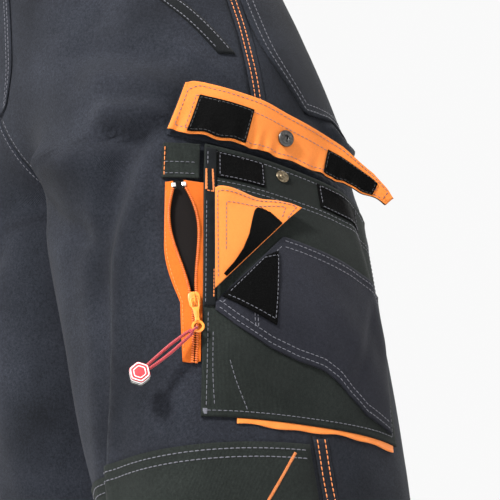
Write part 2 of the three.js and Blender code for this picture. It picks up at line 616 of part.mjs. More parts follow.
// ---------------------------------------------------------------- flaps
// Cargo flap: a flat stiff plate on a straight crease just above the mouth.
const creaseMid = [50, 211 - 0.12 * 50];
const creaseA = onLeg(creaseMid[0] - 6, creaseMid[1] + 0.12 * 6, FLAP_LIFT);
const creaseB = onLeg(creaseMid[0] + 6, creaseMid[1] - 0.12 * 6, FLAP_LIFT);
const creaseAt = creaseA.clone().lerp(creaseB, 0.5);
const creaseDir = creaseB.clone().sub(creaseA).normalize();
const creaseOut = onLeg(creaseMid[0], creaseMid[1], 10).sub(onLeg(creaseMid[0], creaseMid[1], 0)).normalize();
const creaseUp = creaseOut.clone().cross(creaseDir).normalize();
const openUp = creaseUp.clone().multiplyScalar(Math.cos(FLAP_OPEN) * Math.sign(creaseUp.z))
  .addScaledVector(creaseOut, Math.sin(FLAP_OPEN)).normalize();
// Frame: x along the crease towards the back, y up the open flap, z out of its lining.
const openOut = creaseDir.clone().cross(openUp).normalize();
const flapFrame = frameAt(creaseAt, creaseDir, openOut);
const flapSide = local(flapFrame, 0, 1, 0).sub(creaseAt).dot(openUp) > 0 ? 1 : -1;
const FLAP_X0 = -78;
const FLAP_X1 = FLAP_X0 + FLAP_L;
const F = (x, y) => [x, flapSide * y];
const flapOutline = [F(FLAP_X0, 0.6), F(FLAP_X1, 0.6), F(FLAP_X1 + 2, FLAP_H_BACK * 0.7), F(FLAP_X1 - 5, FLAP_H_BACK),
  F(mix(FLAP_X0, FLAP_X1, 0.5), mix(FLAP_H_FRONT, FLAP_H_BACK, 0.42)), F(FLAP_X0 + 14, FLAP_H_FRONT),
  F(FLAP_X0 + 6, FLAP_H_FRONT - 3), F(FLAP_X0 + 2, FLAP_H_FRONT - 10)];
const flapZ = [-FLAP_T / 2, FLAP_T / 2];
add('cargo_flap', plate(flapFrame, flapOutline, ...flapZ), ORANGE);
const hookPlate = (x0, y0, w, h) => plate(flapFrame, [F(x0, y0), F(x0 + w, y0), F(x0 + w, y0 + h), F(x0, y0 + h)],
  FLAP_T / 2 + GAP, FLAP_T / 2 + GAP + HOOK_T);
add('hook_patch_front', hookPlate(FLAP_X0 + 12, 8, HOOK_W, HOOK_H), BLACK);
add('hook_patch_rear', hookPlate(FLAP_X1 - 52, 4.5, 44, 17), BLACK);
const socketFrame = frameAt(local(flapFrame, 8, flapSide * SNAP_Q, FLAP_T / 2 + GAP), creaseDir, openOut);
add('snap_socket', turned(socketFrame, [[2.3, 0], [SNAP_R, 0], [SNAP_R, 0.7], [4.6, 1.6], [3, 1.6], [2.3, 1.1],
  [2.3, 0]], 24), 0x55565a, 0.35, 0.9);
add('flap_welt', sheet((u, v, h) => onLeg(mix(-26, 132, u), 211 - 0.12 * mix(-26, 132, u) + mix(-1.6, 3.4, v), h),
  14, 2, GAP + 0.3, (u) => GAP + 1.2 + (WELT - 0.9) * Math.exp(-(((u - 0.48) * 5.5) ** 2))), CHARCOAL);

// Phone flap: a flat skewed plate, hinged along the mouth of the phone pocket.
const PH_D = [6, 88];
const PH_A = [3.4, 167];
const PH_B = [66, 160];
const PH_C = [56, 147];
const phMid = [mix(PH_D[0], PH_C[0], 0.5), mix(PH_D[1], PH_C[1], 0.5)];
const phNormal = faceNormal(...phMid);
const phDir0 = onFace(PH_C[0], PH_C[1], 0).sub(onFace(PH_D[0], PH_D[1], 0));
const phAt = onFace(phMid[0], phMid[1], 0).addScaledVector(phNormal, PHONE_FLAP_T / 2 + GAP + 0.3);
const phDir = phDir0.addScaledVector(phNormal, -phDir0.dot(phNormal)).normalize();
const phUp = phNormal.clone().cross(phDir).normalize();
const phOpenUp = phUp.clone().multiplyScalar(Math.cos(PHONE_TILT)).addScaledVector(phNormal, Math.sin(PHONE_TILT));
const phOut = phDir.clone().cross(phOpenUp).normalize();
const phFrame = frameAt(phAt, phDir, phOut);
const phInv = phFrame.clone().invert();
const phLocal = ([p, q]) => {
  const w = onFace(p, q, 0).applyMatrix4(phInv);
  return [w.x, w.y];
};
const [dA, dB, dC, dD] = [PH_A, PH_B, PH_C, PH_D].map(phLocal);
const phoneOutline = [[dD[0], 0.4], [dC[0], 0.4], dB, [mix(dB[0], dA[0], 0.94), mix(dB[1], dA[1], 0.94)],
  [mix(dA[0], dD[0], 0.06), mix(dA[1], dD[1], 0.06)]];
add('phone_flap', plate(phFrame, phoneOutline, -PHONE_FLAP_T / 2, PHONE_FLAP_T / 2), ORANGE);
add('phone_hook_patch', plate(phFrame, [[-27, 5], [26, 5], [24, 21], [-22, 21]],
  PHONE_FLAP_T / 2 + GAP, PHONE_FLAP_T / 2 + GAP + HOOK_T), BLACK);

export default group;
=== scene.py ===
"""Looks of the forestry trousers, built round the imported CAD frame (metres, +Z up)."""
import math
import bmesh
import bpy
import numpy as np
from mathutils import Matrix, Vector


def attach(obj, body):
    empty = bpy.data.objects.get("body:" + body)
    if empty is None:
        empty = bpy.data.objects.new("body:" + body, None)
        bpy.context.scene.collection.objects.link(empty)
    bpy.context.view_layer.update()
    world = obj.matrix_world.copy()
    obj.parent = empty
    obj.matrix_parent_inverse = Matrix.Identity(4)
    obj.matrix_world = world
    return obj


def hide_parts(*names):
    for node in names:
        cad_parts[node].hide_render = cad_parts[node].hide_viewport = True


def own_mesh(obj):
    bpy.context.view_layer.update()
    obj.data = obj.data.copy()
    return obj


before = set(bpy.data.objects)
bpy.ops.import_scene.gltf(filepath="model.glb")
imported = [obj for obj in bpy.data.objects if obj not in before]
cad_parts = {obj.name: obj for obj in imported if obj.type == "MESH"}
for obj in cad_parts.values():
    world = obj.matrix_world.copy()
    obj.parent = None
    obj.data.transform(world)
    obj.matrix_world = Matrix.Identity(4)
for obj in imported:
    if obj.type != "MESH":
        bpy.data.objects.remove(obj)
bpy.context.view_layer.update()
RNG = np.random.default_rng(7)
MM = 0.001
ROUND = 2 * math.pi

# ------------------------------------------------------------------ camera and light
AZ, EL, ROLL, DIST = math.radians(60), math.radians(-18), math.radians(-8), 1.2
AIM = Vector((0.190, -0.0053, -0.346))
LENS, WORLD_LEVEL, FLOOR_Z, FLOOR_SIZE = 120, 0.95, -1.062, 14
back = Vector((math.sin(AZ) * math.cos(EL), -math.cos(AZ) * math.cos(EL), math.sin(EL)))
cam = bpy.data.objects.new("camera", bpy.data.cameras.new("camera"))
bpy.context.scene.collection.objects.link(cam)
bpy.context.scene.camera = cam
cam.data.lens = LENS
right = (-back).cross(Vector((0, 0, 1))).normalized()
up = right.cross(-back)
r2 = right * math.cos(ROLL) + up * math.sin(ROLL)
u2 = -right * math.sin(ROLL) + up * math.cos(ROLL)
cam.matrix_world = Matrix((
    (r2.x, u2.x, back.x, 0), (r2.y, u2.y, back.y, 0), (r2.z, u2.z, back.z, 0), (0, 0, 0, 1)))
cam.location = AIM + back * DIST
cam.data.clip_start, cam.data.clip_end = 0.02, 60


def area_light(name, place, aim, size, power, colour=(1, 1, 1)):
    data = bpy.data.lights.new(name, "AREA")
    data.energy, data.size, data.color = power, size, colour
    o = bpy.data.objects.new(name, data)
    bpy.context.scene.collection.objects.link(o)
    o.location = place
    o.rotation_euler = (Vector(aim) - Vector(place)).to_track_quat("-Z", "Y").to_euler()
    return o


area_light("key", AIM + back * 0.9 - r2 * 1.2 + u2 * 1.7, AIM, 0.45, 105)
area_light("fill", AIM + back * 1.7 + r2 * 1.6 + u2 * 0.3, AIM, 1.6, 6)
area_light("rim", AIM - back * 1.2 + r2 * 1.3 + u2 * 1.0, AIM, 1.2, 16)
area_light("top", Vector((0, 0, 1.6)), (0, 0, -0.5), 2.5, 14)
area_light("low_front", Vector((-0.9, -1.9, -0.3)), (0, 0, -0.6), 1.8, 8)
area_light("back_soft", Vector((-0.8, 2.0, 0.2)), (0, 0, -0.5), 2.0, 22)

world = bpy.data.worlds.new("world")
bpy.context.scene.world = world
world.use_nodes = True
world.node_tree.nodes["Background"].inputs[0].default_value = (1, 1, 1, 1)
world.node_tree.nodes["Background"].inputs[1].default_value = WORLD_LEVEL
bpy.context.scene.view_settings.view_transform = "Standard"


# ------------------------------------------------------------------ surface of the cloth
GAP, CLOTH, WAIST_BAND = 0.3, 1.0, 38
INSEAM_TOP, RISE_TOP, HEM, CENTRE_GAP = -250, -150, -1050, 0.35
LEG = np.array([
    [-1060, 190, 8, 78, 84, 2.1], [-680, 147, 0, 90, 99, 2.3], [-560, 132, 2, 97, 109, 2.4],
    [-430, 117, 5, 100, 115, 2.5], [-300, 101, 8, 100, 120, 2.5], [-240, 99.5, 9, 99, 121, 2.5]], float)
HIP = np.array([
    [-260, 10, 200, 126, 2.4], [-170, 10, 190, 124, 2.3], [-100, 6, 172, 118, 2.2],
    [-40, 2, 156, 112, 2.2], [0, 0, 150, 108, 2.2]], float)
HIP_TURN = math.radians(62)


def smooth(table, x, col):
    """Smooth value of a table's column at x, the same curve as the CAD source uses."""
    table = np.asarray(table, float)
    n = len(table)
    t = np.clip(np.asarray(x, float), table[0, 0], table[-1, 0])
    i = np.clip(np.searchsorted(table[:, 0], t, side="left") - 1, 0, n - 2)
    lo, hi = np.maximum(0, np.arange(n) - 1), np.minimum(n - 1, np.arange(n) + 1)
    slope = (table[hi, col] - table[lo, col]) / (table[hi, 0] - table[lo, 0])
    w = table[i + 1, 0] - table[i, 0]
    f = (t - table[i, 0]) / w
    g = 1 - f
    return (table[i, col] * g * g * (1 + 2 * f) + table[i + 1, col] * f * f * (1 + 2 * g)
            + slope[i] * w * f * g * g - slope[i + 1] * w * g * f * f)


def oval(cx, cy, a, b, n, th):
    c, s = np.cos(th), np.sin(th)
    e = 2 / n
    return cx + a * np.sign(c) * np.abs(c) ** e, cy + b * np.sign(s) * np.abs(s) ** e


RINGS, FINE = 120, 240
Z_STEP = 2.0
Z_ROWS = np.arange(-1064, 1, Z_STEP)
POS = np.zeros((2, len(Z_ROWS), FINE + 1, 2))
REACH = np.zeros((2, len(Z_ROWS)))
for k, z in enumerate(Z_ROWS):
    L = [float(smooth(LEG, z, c)) for c in range(1, 6)]
    H = [float(smooth(HIP, z, c)) for c in range(1, 5)]
    t = min(1, max(0, (z - INSEAM_TOP) / (RISE_TOP - INSEAM_TOP)))
    seam_curve = math.sqrt(max(0, 1 - (1 - t) ** 2))
    e = min(1, max(0, (z - INSEAM_TOP + 40) / (RISE_TOP - INSEAM_TOP + 40)))
    easy = e * e * (3 - 2 * e)
    u = np.linspace(0, 1, RINGS + 1)
    turn = np.where(u < 0.5, 2 * u * HIP_TURN, HIP_TURN + (math.pi / 2 - HIP_TURN) * (2 * u - 1))
    w = easy + (seam_curve - easy) * np.clip(2 * u - 1, 0, 1) ** 2
    for s, side in enumerate((-1, 1)):
        lx, ly = oval(*L, side * u * math.pi)
        hx, hy = oval(0, *H, side * turn)
        x = np.maximum(CENTRE_GAP, lx + (hx - lx) * w)
        y = ly + (hy - ly) * w
        arc = np.concatenate([[0], np.cumsum(np.hypot(np.diff(x), np.diff(y)))])
        d = np.linspace(0, arc[-1], FINE + 1)
        POS[s, k, :, 0], POS[s, k, :, 1] = np.interp(d, arc, x), np.interp(d, arc, y)
        REACH[s, k] = arc[-1]


def reach(z, side):
    return np.interp(z, Z_ROWS, REACH[0 if side < 0 else 1])


def flat_skin(a, z, h):
    """Point on the left half: a mm round from the side seam, level z, h mm out of the cloth."""
    a, z, h = np.broadcast_arrays(np.asarray(a, float), np.asarray(z, float), np.asarray(h, float))
    s = (a >= 0).astype(int)
    kz = np.clip((z - Z_ROWS[0]) / Z_STEP, 0, len(Z_ROWS) - 1.001)
    k = kz.astype(int)
    f = kz - k
    total = REACH[s, k] * (1 - f) + REACH[s, k + 1] * f
    t = np.clip(np.abs(a) / total, 0, 1) * FINE

    def at(tt):
        tt = np.clip(tt, 0, FINE - 0.001)
        i = tt.astype(int)
        g = (tt - i)[..., None]
        p0 = POS[s, k, i] * (1 - g) + POS[s, k, i + 1] * g
        p1 = POS[s, k + 1, i] * (1 - g) + POS[s, k + 1, i + 1] * g
        return p0 * (1 - f[..., None]) + p1 * f[..., None]
    p = at(t)
    d = (at(t + 2.5) - at(t - 2.5)) * np.where(s == 1, 1, -1)[..., None]
    at_seam = t < 2.5
    n = np.stack([d[..., 1], -d[..., 0]], -1)
    n = np.where(at_seam[..., None], n + np.array([1e-3, 0]), n)
    n /= np.linalg.norm(n, axis=-1, keepdims=True) + 1e-9
    return np.stack([p[..., 0] + h * n[..., 0], p[..., 1] + h * n[..., 1], z + 0 * h], -1)


def ss(x, a, b):
    t = np.clip((np.asarray(x, float) - a) / (np.asarray(b) - a), 0, 1)
    return t * t * (3 - 2 * t)


def near(distance, size):
    """1 at an edge, falling to 0 within about two sizes of it."""
    return np.exp(-(distance / size) ** 2)


def margin(t, width):
    """Distance of a share t of a width from the nearer end."""
    return np.minimum(t, 1 - t) * width


def ridge(a, z, a0, z0, a1, z1, width, height, sharp=1.0):
    """Soft fold along a line on the cloth, fading at both ends."""
    dx, dz = a1 - a0, z1 - z0
    ln = math.hypot(dx, dz)
    t = ((a - a0) * dx + (z - z0) * dz) / ln ** 2
    d = ((a - a0) * dz - (z - z0) * dx) / ln
    fade = ss(t, -0.15, 0.25) * (1 - ss(t, 0.7, 1.12))
    return height * fade * np.exp(-(np.abs(d) / width) ** (1 + sharp))


# Folds of the cloth: start, end (distance round, level), width and height in mm.
FOLDS = [
    (-122, -228, -66, -246, 9, 5.5), (-126, -246, -76, -262, 7, -5), (-50, -180, -14, -219, 2.6, 1.5),
    (-126, -190, -50, -230, 15, 4.5), (-140, -160, -60, -200, 12, -3), (-20, -60, -50, -150, 13, -3),
    (-215, -230, -120, -275, 16, 7), (-230, -262, -140, -330, 12, -5), (30, -62, -2, -150, 12, 3),
    (-90, -60, -110, -160, 20, -3.5), (70, -238, 110, -262, 8, 3), (62, -250, 104, -282, 7, -3),
    (140, -240, 84, -262, 9, 4), (150, -262, 96, -290, 9, -4), (230, -240, 120, -290, 12, -4),
    (250, -262, 130, -330, 16, 5), (200, -350, 240, -560, 22, 6), (150, -420, 175, -600, 18, -5),
    (-60, -700, -230, -735, 15, 5), (-40, -735, -220, -775, 13, -5), (60, -690, 230, -720, 14, 6),
    (70, -720, 240, -765, 15, -6), (60, -765, 220, -800, 13, 5), (-150, -860, -60, -900, 18, 4),
    (-50, -990, -220, -1010, 14, 4), (60, -980, 200, -1004, 14, 4), (-130, -820, -120, -980, 24, 5),
    (150, -840, 130, -1000, 26, 5)]
UPPER_FOLDS, LOWER_FOLDS, HIP_END = 2.0, 1.1, -420
# Line in front of the zip where the cloth turns away to the inside of the thigh.
TURN = np.array([[-640, -178], [-496, -159], [-447, -142], [-388, -126], [-342, -115], [-316, -103],
                 [-296, -92], [-268, -79], [-240, -66]], float)


def folds(a, z):
    a, z = np.broadcast_arrays(np.asarray(a, float), np.asarray(z, float))
    out = np.zeros(a.shape)
    for a0, z0, a1, z1, w, hh in FOLDS:
        out = out + (UPPER_FOLDS if z0 > HIP_END else LOWER_FOLDS) * ridge(a, z, a0, z0, a1, z1, w, hh, 0.8)
    out = out + 1.1 * np.sin(a / 31 + z / 57) * np.sin(z / 43 - a / 90 + 1.3)
    line = np.interp(z, TURN[:, 0], TURN[:, 1])
    d = a - line
    along = ss(z, -640, -540) * (1 - ss(z, -275, -248))
    out = out + along * (4.4 * near(d + 3, 9) - 14 * near(d + 27, 17) - 5 * near(d + 60, 20))
    # The cloth lies flat at the seams, behind the pocket and beside the zip.
    zone = ss(a, line - 2, line + 14) * (1 - ss(a, 95, 125)) * ss(z, -520, -495) * (1 - ss(z, -262, -240))
    seam = ss(np.abs(a), 3, 26)
    inner = ss(np.where(a < 0, reach(z, -1), reach(z, 1)) - np.abs(a), 0, 30)
    return (out * (1 - zone) * (0.25 + 0.75 * seam) * inner
            * (1 - ss(z, -60, -40)) * ss(z, HEM + 4, HEM + 60))


def skin(a, z, h):
    return flat_skin(a, z, h + folds(np.asarray(a, float), np.asarray(z, float)))


# ------------------------------------------------------------------ pocket frame
POCKET_AT = (-76.4, -472.4)
TILT = math.radians(9)
POCKET_W, POCKET_H, TOP_FALL, CANVAS = 158, 205, 0.12, 1.2
BULGE = [[0, 0], [40, 7], [100, 11], [150, 10.6], [205, 5.6]]
FRONT = [[0, 0], [30, 0.3], [60, 1.8], [90, 4.6], [175, 4.6], [205, 3.4]]
CT, ST = math.cos(TILT), math.sin(TILT)


def on_leg(p, q, h):
    return skin(POCKET_AT[0] + np.asarray(p) * CT + np.asarray(q) * ST,
                POCKET_AT[1] - np.asarray(p) * ST + np.asarray(q) * CT, h)


def mouth(p):
    return POCKET_H - TOP_FALL * np.clip(p, 0, POCKET_W)


def stand(p, q):
    u = np.clip(np.asarray(p, float) / POCKET_W, 0, 1)
    k = np.clip(q / mouth(p), 0, 1) * POCKET_H
    front = smooth(FRONT, k, 1) * (1 - u) ** 2
    return GAP + front + smooth(BULGE, k, 1) * np.sin(math.pi * u) ** 0.8


def rumple(p, q):
    """Shallow waves of the pocket's canvas, gone at its sewn edges."""
    edge = ss(p, 2, 22) * (1 - ss(p, 138, 156)) * ss(q, 2, 24)
    w = 0.9 * np.sin(p / 17 + q / 29) * np.sin(q / 21 - p / 37 + 0.6)
    w = w + 0.7 * np.sin(p / 9.5 - q / 40 + 2) * near(q - 20, 30)
    w = w + ridge(p, q, 6, 60, 66, 6, 7, 1.6) - ridge(p, q, 4, 44, 60, 0, 6, 1.3)
    w = w + ridge(p, q, 110, 190, 150, 60, 9, 2.2) - ridge(p, q, 128, 185, 156, 90, 8, 2)
    return w * edge


def on_face(p, q, h):
    return on_leg(p, q, stand(p, q) + CANVAS + h + rumple(p, q))


# ------------------------------------------------------------------ mesh building
def new_object(name, verts, faces, mats, body, nodes=(), uv=None, index=None):
    me = bpy.data.meshes.new(name)
    me.from_pydata([tuple(v) for v in np.asarray(verts) * MM], [], faces)
    for m in mats if isinstance(mats, (list, tuple)) else [mats]:
        me.materials.append(m)
    if index is not None:
        me.polygons.foreach_set("material_index", index)
    me.polygons.foreach_set("use_smooth", [True] * len(me.polygons))
    if uv is not None:
        layer = me.uv_layers.new(name="cloth")
        loops = np.zeros(len(me.loops), int)
        me.loops.foreach_get("vertex_index", loops)
        layer.data.foreach_set("uv", (np.asarray(uv)[loops] * MM).ravel())
    me.update()
    o = bpy.data.objects.new(name, me)
    bpy.context.scene.collection.objects.link(o)
    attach(o, body)
    if nodes:
        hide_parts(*nodes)
    return o


def shell_data(at, nu, nv, h0, h1):
    """Closed sheet between heights h0 and h1 over a surface function of u, v and height."""
    U, V = np.meshgrid(np.linspace(0, 1, nu + 1), np.linspace(0, 1, nv + 1))
    val = lambda h: h(U, V) if callable(h) else np.full_like(U, h)
    P0, P1 = at(U, V, val(h0)), at(U, V, val(h1))
    layer = (nu + 1) * (nv + 1)
    ident = lambda i, j, k: k * layer + j * (nu + 1) + i
    faces = []
    for j in range(nv):
        for i in range(nu):
            faces.append((ident(i, j, 1), ident(i + 1, j, 1), ident(i + 1, j + 1, 1), ident(i, j + 1, 1)))
            faces.append((ident(i, j, 0), ident(i, j + 1, 0), ident(i + 1, j + 1, 0), ident(i + 1, j, 0)))
    for i in range(nu):
        faces.append((ident(i, 0, 0), ident(i + 1, 0, 0), ident(i + 1, 0, 1), ident(i, 0, 1)))
        faces.append((ident(i + 1, nv, 0), ident(i, nv, 0), ident(i, nv, 1), ident(i + 1, nv, 1)))
    for j in range(nv):
        faces.append((ident(nu, j, 0), ident(nu, j + 1, 0), ident(nu, j + 1, 1), ident(nu, j, 1)))
        faces.append((ident(0, j + 1, 0), ident(0, j, 0), ident(0, j, 1), ident(0, j + 1, 1)))
    verts = np.concatenate([P0.reshape(-1, 3), P1.reshape(-1, 3)])
    # Face directions follow the first surface cell.
    a, b, c = verts[faces[0][0]], verts[faces[0][1]], verts[faces[0][2]]
    outward = (P1 - P0).reshape(-1, 3)[0]
    if np.dot(np.cross(b - a, c - a), outward) < 0:
        faces = [tuple(reversed(f)) for f in faces]
    du = np.linalg.norm(np.diff(P1, axis=1), axis=2)
    dv = np.linalg.norm(np.diff(P1, axis=0), axis=2)
    gu = np.concatenate([np.zeros((nv + 1, 1)), np.cumsum(du, 1)], 1)
    gv = np.concatenate([np.zeros((1, nu + 1)), np.cumsum(dv, 0)], 0)
    uv = np.stack([gu, gv], -1).reshape(-1, 2)
    return verts, faces, np.concatenate([uv, uv])


def shell(name, at, nu, nv, h0, h1, mat, body="garment", nodes=()):
    v, f, uv = shell_data(at, nu, nv, h0, h1)
    return new_object(name, v, f, mat, body, nodes, uv)


def mirror(name, o, nodes=()):
    """The right-hand copy of a left-hand piece."""
    me = o.data.copy()
    me.name = name
    co = np.zeros(len(me.vertices) * 3)
    me.vertices.foreach_get("co", co)
    co[0::3] *= -1
    me.vertices.foreach_set("co", co)
    me.flip_normals()
    m = bpy.data.objects.new(name, me)
    bpy.context.scene.collection.objects.link(m)
    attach(m, "garment")
    if nodes:
        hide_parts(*nodes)
    return m


def pair(name, node, at, nu, nv, h0, h1, mat):
    left = shell(f"{name}_left", at, nu, nv, h0, h1, mat, "garment", [f"{node}_left"])
    return left, mirror(f"{name}_right", left, [f"{node}_right"])


def arc_length(pts):
    return np.concatenate([[0], np.cumsum(np.linalg.norm(np.diff(pts, axis=0), axis=1))])


def resample(pts, step):
    pts = np.asarray(pts, float)
    arc = arc_length(pts)
    n = max(2, int(arc[-1] / step) + 1)
    d = np.linspace(0, arc[-1], n)
    return np.stack([np.interp(d, arc, pts[:, c]) for c in range(3)], -1)


def tangents(pts):
    t = np.gradient(pts, axis=0)
    return t / (np.linalg.norm(t, axis=1, keepdims=True) + 1e-9)


def tube_data(pts, r, sides=8, caps=True, squash=1.0, ups=None):
    """Tube along pts; r is a radius, one for each point, or a function of the angle."""
    pts = np.asarray(pts, float)
    t = tangents(pts)
    ref = np.asarray(ups, float) if ups is not None else np.tile([0.3, -0.2, 1.0], (len(pts), 1))
    n = ref - (ref * t).sum(1, keepdims=True) * t
    n /= np.linalg.norm(n, axis=1, keepdims=True) + 1e-9
    b = np.cross(t, n)
    verts, faces = [], []
    for k in range(sides):
        an = ROUND * k / sides
        rr = np.broadcast_to(np.asarray(r(an) if callable(r) else r, float), (len(pts),))
        verts.append(pts + rr[:, None] * (math.cos(an) * n * squash + math.sin(an) * b))
    verts = np.stack(verts, 1).reshape(-1, 3)
    for j in range(len(pts) - 1):
        for k in range(sides):
            a, c = j * sides + k, j * sides + (k + 1) % sides
            faces.append((a, c, c + sides, a + sides))
    if caps:
        faces.append(tuple(reversed(range(sides))))
        faces.append(tuple((len(pts) - 1) * sides + k for k in range(sides)))
    return verts, faces


def merge(blocks):
    verts, faces, at = [], [], 0
    for v, f in blocks:
        verts.append(v)
        faces += [tuple(i + at for i in q) for q in f]
        at += len(v)
    return np.concatenate(verts), faces


STITCH_T = np.array([-0.5, -0.4, 0.0, 0.4, 0.5])
STITCH_R = np.array([0.3, 0.85, 1.0, 0.85, 0.3])


def stitches(name, rows, mat, body, length=2.7, gap=1.1, r=0.34, sides=5):
    """Rows of sewn thread: each row is (points, outward directions) along the seam."""
    blocks = []
    for pts, outs in rows:
        pts = np.asarray(pts, float)
        arc = arc_length(pts)
        n = int(arc[-1] / (length + gap))
        for k in range(n):
            d = (k + 0.5) * (length + gap) + STITCH_T * length
            p = np.stack([np.interp(d, arc, pts[:, c]) for c in range(3)], -1)
            o = np.stack([np.interp(d, arc, outs[:, c]) for c in range(3)], -1)
            p = p + o * (0.18 * (1 - (2 * STITCH_T) ** 2) - 0.06)[:, None]
            blocks.append(tube_data(p, r * STITCH_R, sides, True, 0.8, o))
    v, f = merge(blocks)
    return new_object(name, v, f, mat, body)


def row_on(at, a, b, h, above):
    """A sewn line on a surface function: its points and its outward directions."""
    p = at(a, b, h)
    n = at(a, b, above) - p
    return p, n / (np.linalg.norm(n, axis=1, keepdims=True) + 1e-9)


def seam_row(at, path, h=0.15, step=1.5):
    """Sewn line along a path given in the surface function's own coordinates."""
    path = np.asarray(path, float)
    arc = arc_length(path)
    d = np.linspace(0, arc[-1], max(3, int(arc[-1] / step)))
    return row_on(at, np.interp(d, arc, path[:, 0]), np.interp(d, arc, path[:, 1]), h, h + 2.0)


def stitch_pair(name, rows, mat, *size):
    """Stitches of the left half and their mirrored copy."""
    mirror(f"{name}_right", stitches(f"{name}_left", rows, mat, "garment", *size))


def curve_of(points, n=40):
    """Smooth open curve through 2-D points, by arc length."""
    p = np.asarray(points, float)
    t = arc_length(p)
    s = np.linspace(0, t[-1], n)
    return np.stack([smooth(np.column_stack([t, p[:, c]]), s, 1) for c in (0, 1)], -1)


# ------------------------------------------------------------------ materials
class Mat:
    """Small helper round one procedural material."""

    def __init__(self, name, base, rough, **kw):
        self.m = bpy.data.materials.new(name)
        self.m.use_nodes = True
        self.t = self.m.node_tree
        self.b = self.t.nodes["Principled BSDF"]
        self.b.inputs["Base Color"].default_value = (*base, 1)
        self.b.inputs["Roughness"].default_value = rough
        for k, v in kw.items():
            self.b.inputs[k.replace("_", " ")].default_value = v
        self.height = None

    def node(self, kind, **inputs):
        n = self.t.nodes.new(kind)
        for k, v in inputs.items():
            n.inputs[k.replace("_", " ")].default_value = v
        return n

    def link(self, a, b):
        self.t.links.new(a, b)

    def coord(self, uv=False, scale=(1, 1, 1), turn=0.0):
        c = self.t.nodes.new("ShaderNodeTexCoord")
        m = self.node("ShaderNodeMapping")
        m.inputs["Scale"].default_value = scale
        m.inputs["Rotation"].default_value = (0, 0, turn)
        self.link(c.outputs["UV" if uv else "Object"], m.inputs["Vector"])
        return m.outputs["Vector"]

    def noise(self, scale, detail=3.0, rough=0.6, vec=None):
        n = self.node("ShaderNodeTexNoise", Scale=scale, Detail=detail, Roughness=rough)
        self.link(vec or self.coord(), n.inputs["Vector"])
        return n.outputs["Fac"]

    def wave(self, scale, vec, direction="X", distort=0.0):
        n = self.node("ShaderNodeTexWave", Scale=scale, Distortion=distort)
        n.bands_direction = direction
        n.inputs["Detail Scale"].default_value = 3
        self.link(vec, n.inputs["Vector"])
        return n.outputs["Fac"]

    def voronoi(self, scale, vec=None):
        n = self.node("ShaderNodeTexVoronoi", Scale=scale)
        self.link(vec or self.coord(), n.inputs["Vector"])
        return n.outputs["Distance"]

    def math(self, op, a, b):
        n = self.t.nodes.new("ShaderNodeMath")
        n.operation = op
        for k, v in enumerate((a, b)):
            if isinstance(v, (int, float)):
                n.inputs[k].default_value = v
            else:
                self.link(v, n.inputs[k])
        return n.outputs[0]

    def ramp(self, fac, lo, hi, a=0.3, b=0.7):
        n = self.t.nodes.new("ShaderNodeValToRGB")
        n.color_ramp.elements[0].position, n.color_ramp.elements[1].position = a, b
        n.color_ramp.elements[0].color = (*lo, 1) if len(lo) == 3 else lo
        n.color_ramp.elements[1].color = (*hi, 1) if len(hi) == 3 else hi
        self.link(fac, n.inputs["Fac"])
        return n.outputs["Color"]

    def mixed(self, a, b, fac=0.5):
        n = self.t.nodes.new("ShaderNodeMix")
        n.data_type, n.blend_type = "RGBA", "MULTIPLY"
        n.inputs[0].default_value = fac
        self.link(a, n.inputs[6])
        self.link(b, n.inputs[7])
        return n.outputs[2]

    def colour(self, sock):
        self.link(sock, self.b.inputs["Base Color"])

    def roughness(self, fac, lo, hi):
        self.link(self.ramp(fac, (lo, lo, lo), (hi, hi, hi), 0.2, 0.8), self.b.inputs["Roughness"])

    def bump(self, height, distance, strength=1.0):
        n = self.t.nodes.new("ShaderNodeBump")
        n.inputs["Distance"].default_value = distance
        n.inputs["Strength"].default_value = strength
        self.link(height, n.inputs["Height"])
        if self.height:
            self.link(self.height, n.inputs["Normal"])
        self.height = n.outputs["Normal"]
        self.link(self.height, self.b.inputs["Normal"])


def cloth(name, dark, light, pitch, fuzz, sheen=0.25, twill=0.8, depth=0.00012, rough=(0.8, 0.95),
          uneven=0.5):
    """Woven cloth: twill lines, thread noise, nap and a faint worn variation."""
    m = Mat(name, light, 0.9, Sheen_Weight=sheen, Sheen_Roughness=0.6)
    m.b.inputs["Specular IOR Level"].default_value = 0.05
    uv = m.coord(True, (1, 1, 1), twill)
    weave = m.wave(1 / pitch / 3.2, uv, "X", 0.6)
    cross = m.wave(1 / pitch / 2.6, uv, "Y", 0.6)
    threads = m.math("MULTIPLY", weave, m.math("ADD", m.math("MULTIPLY", cross, 0.6), 0.4))
    nap = m.noise(fuzz, 5, 0.7)
    big = m.noise(9, 3, 0.55)
    mottled = m.noise(520, 3, 0.75)
    base = m.ramp(m.math("ADD", m.math("MULTIPLY", nap, 0.6), m.math("MULTIPLY", threads, 0.4)), dark, light,
                  0.25, 0.75)
    lo = 1 - 0.35 * uneven
    wear = m.ramp(big, (lo, lo, lo), (1, 1, 1), 0.3, 0.7)
    fleck = m.ramp(mottled, (lo, lo, lo), (1.0, 1.0, 1.0), 0.35, 0.65)
    m.colour(m.mixed(m.mixed(base, wear, 1.0), fleck, 0.7))
    m.roughness(nap, *rough)
    m.bump(threads, depth, 0.8)
    m.bump(nap, depth * 1.6, 0.7)
    m.bump(m.noise(70, 4, 0.6), 0.0006, 0.45)
    return m.m


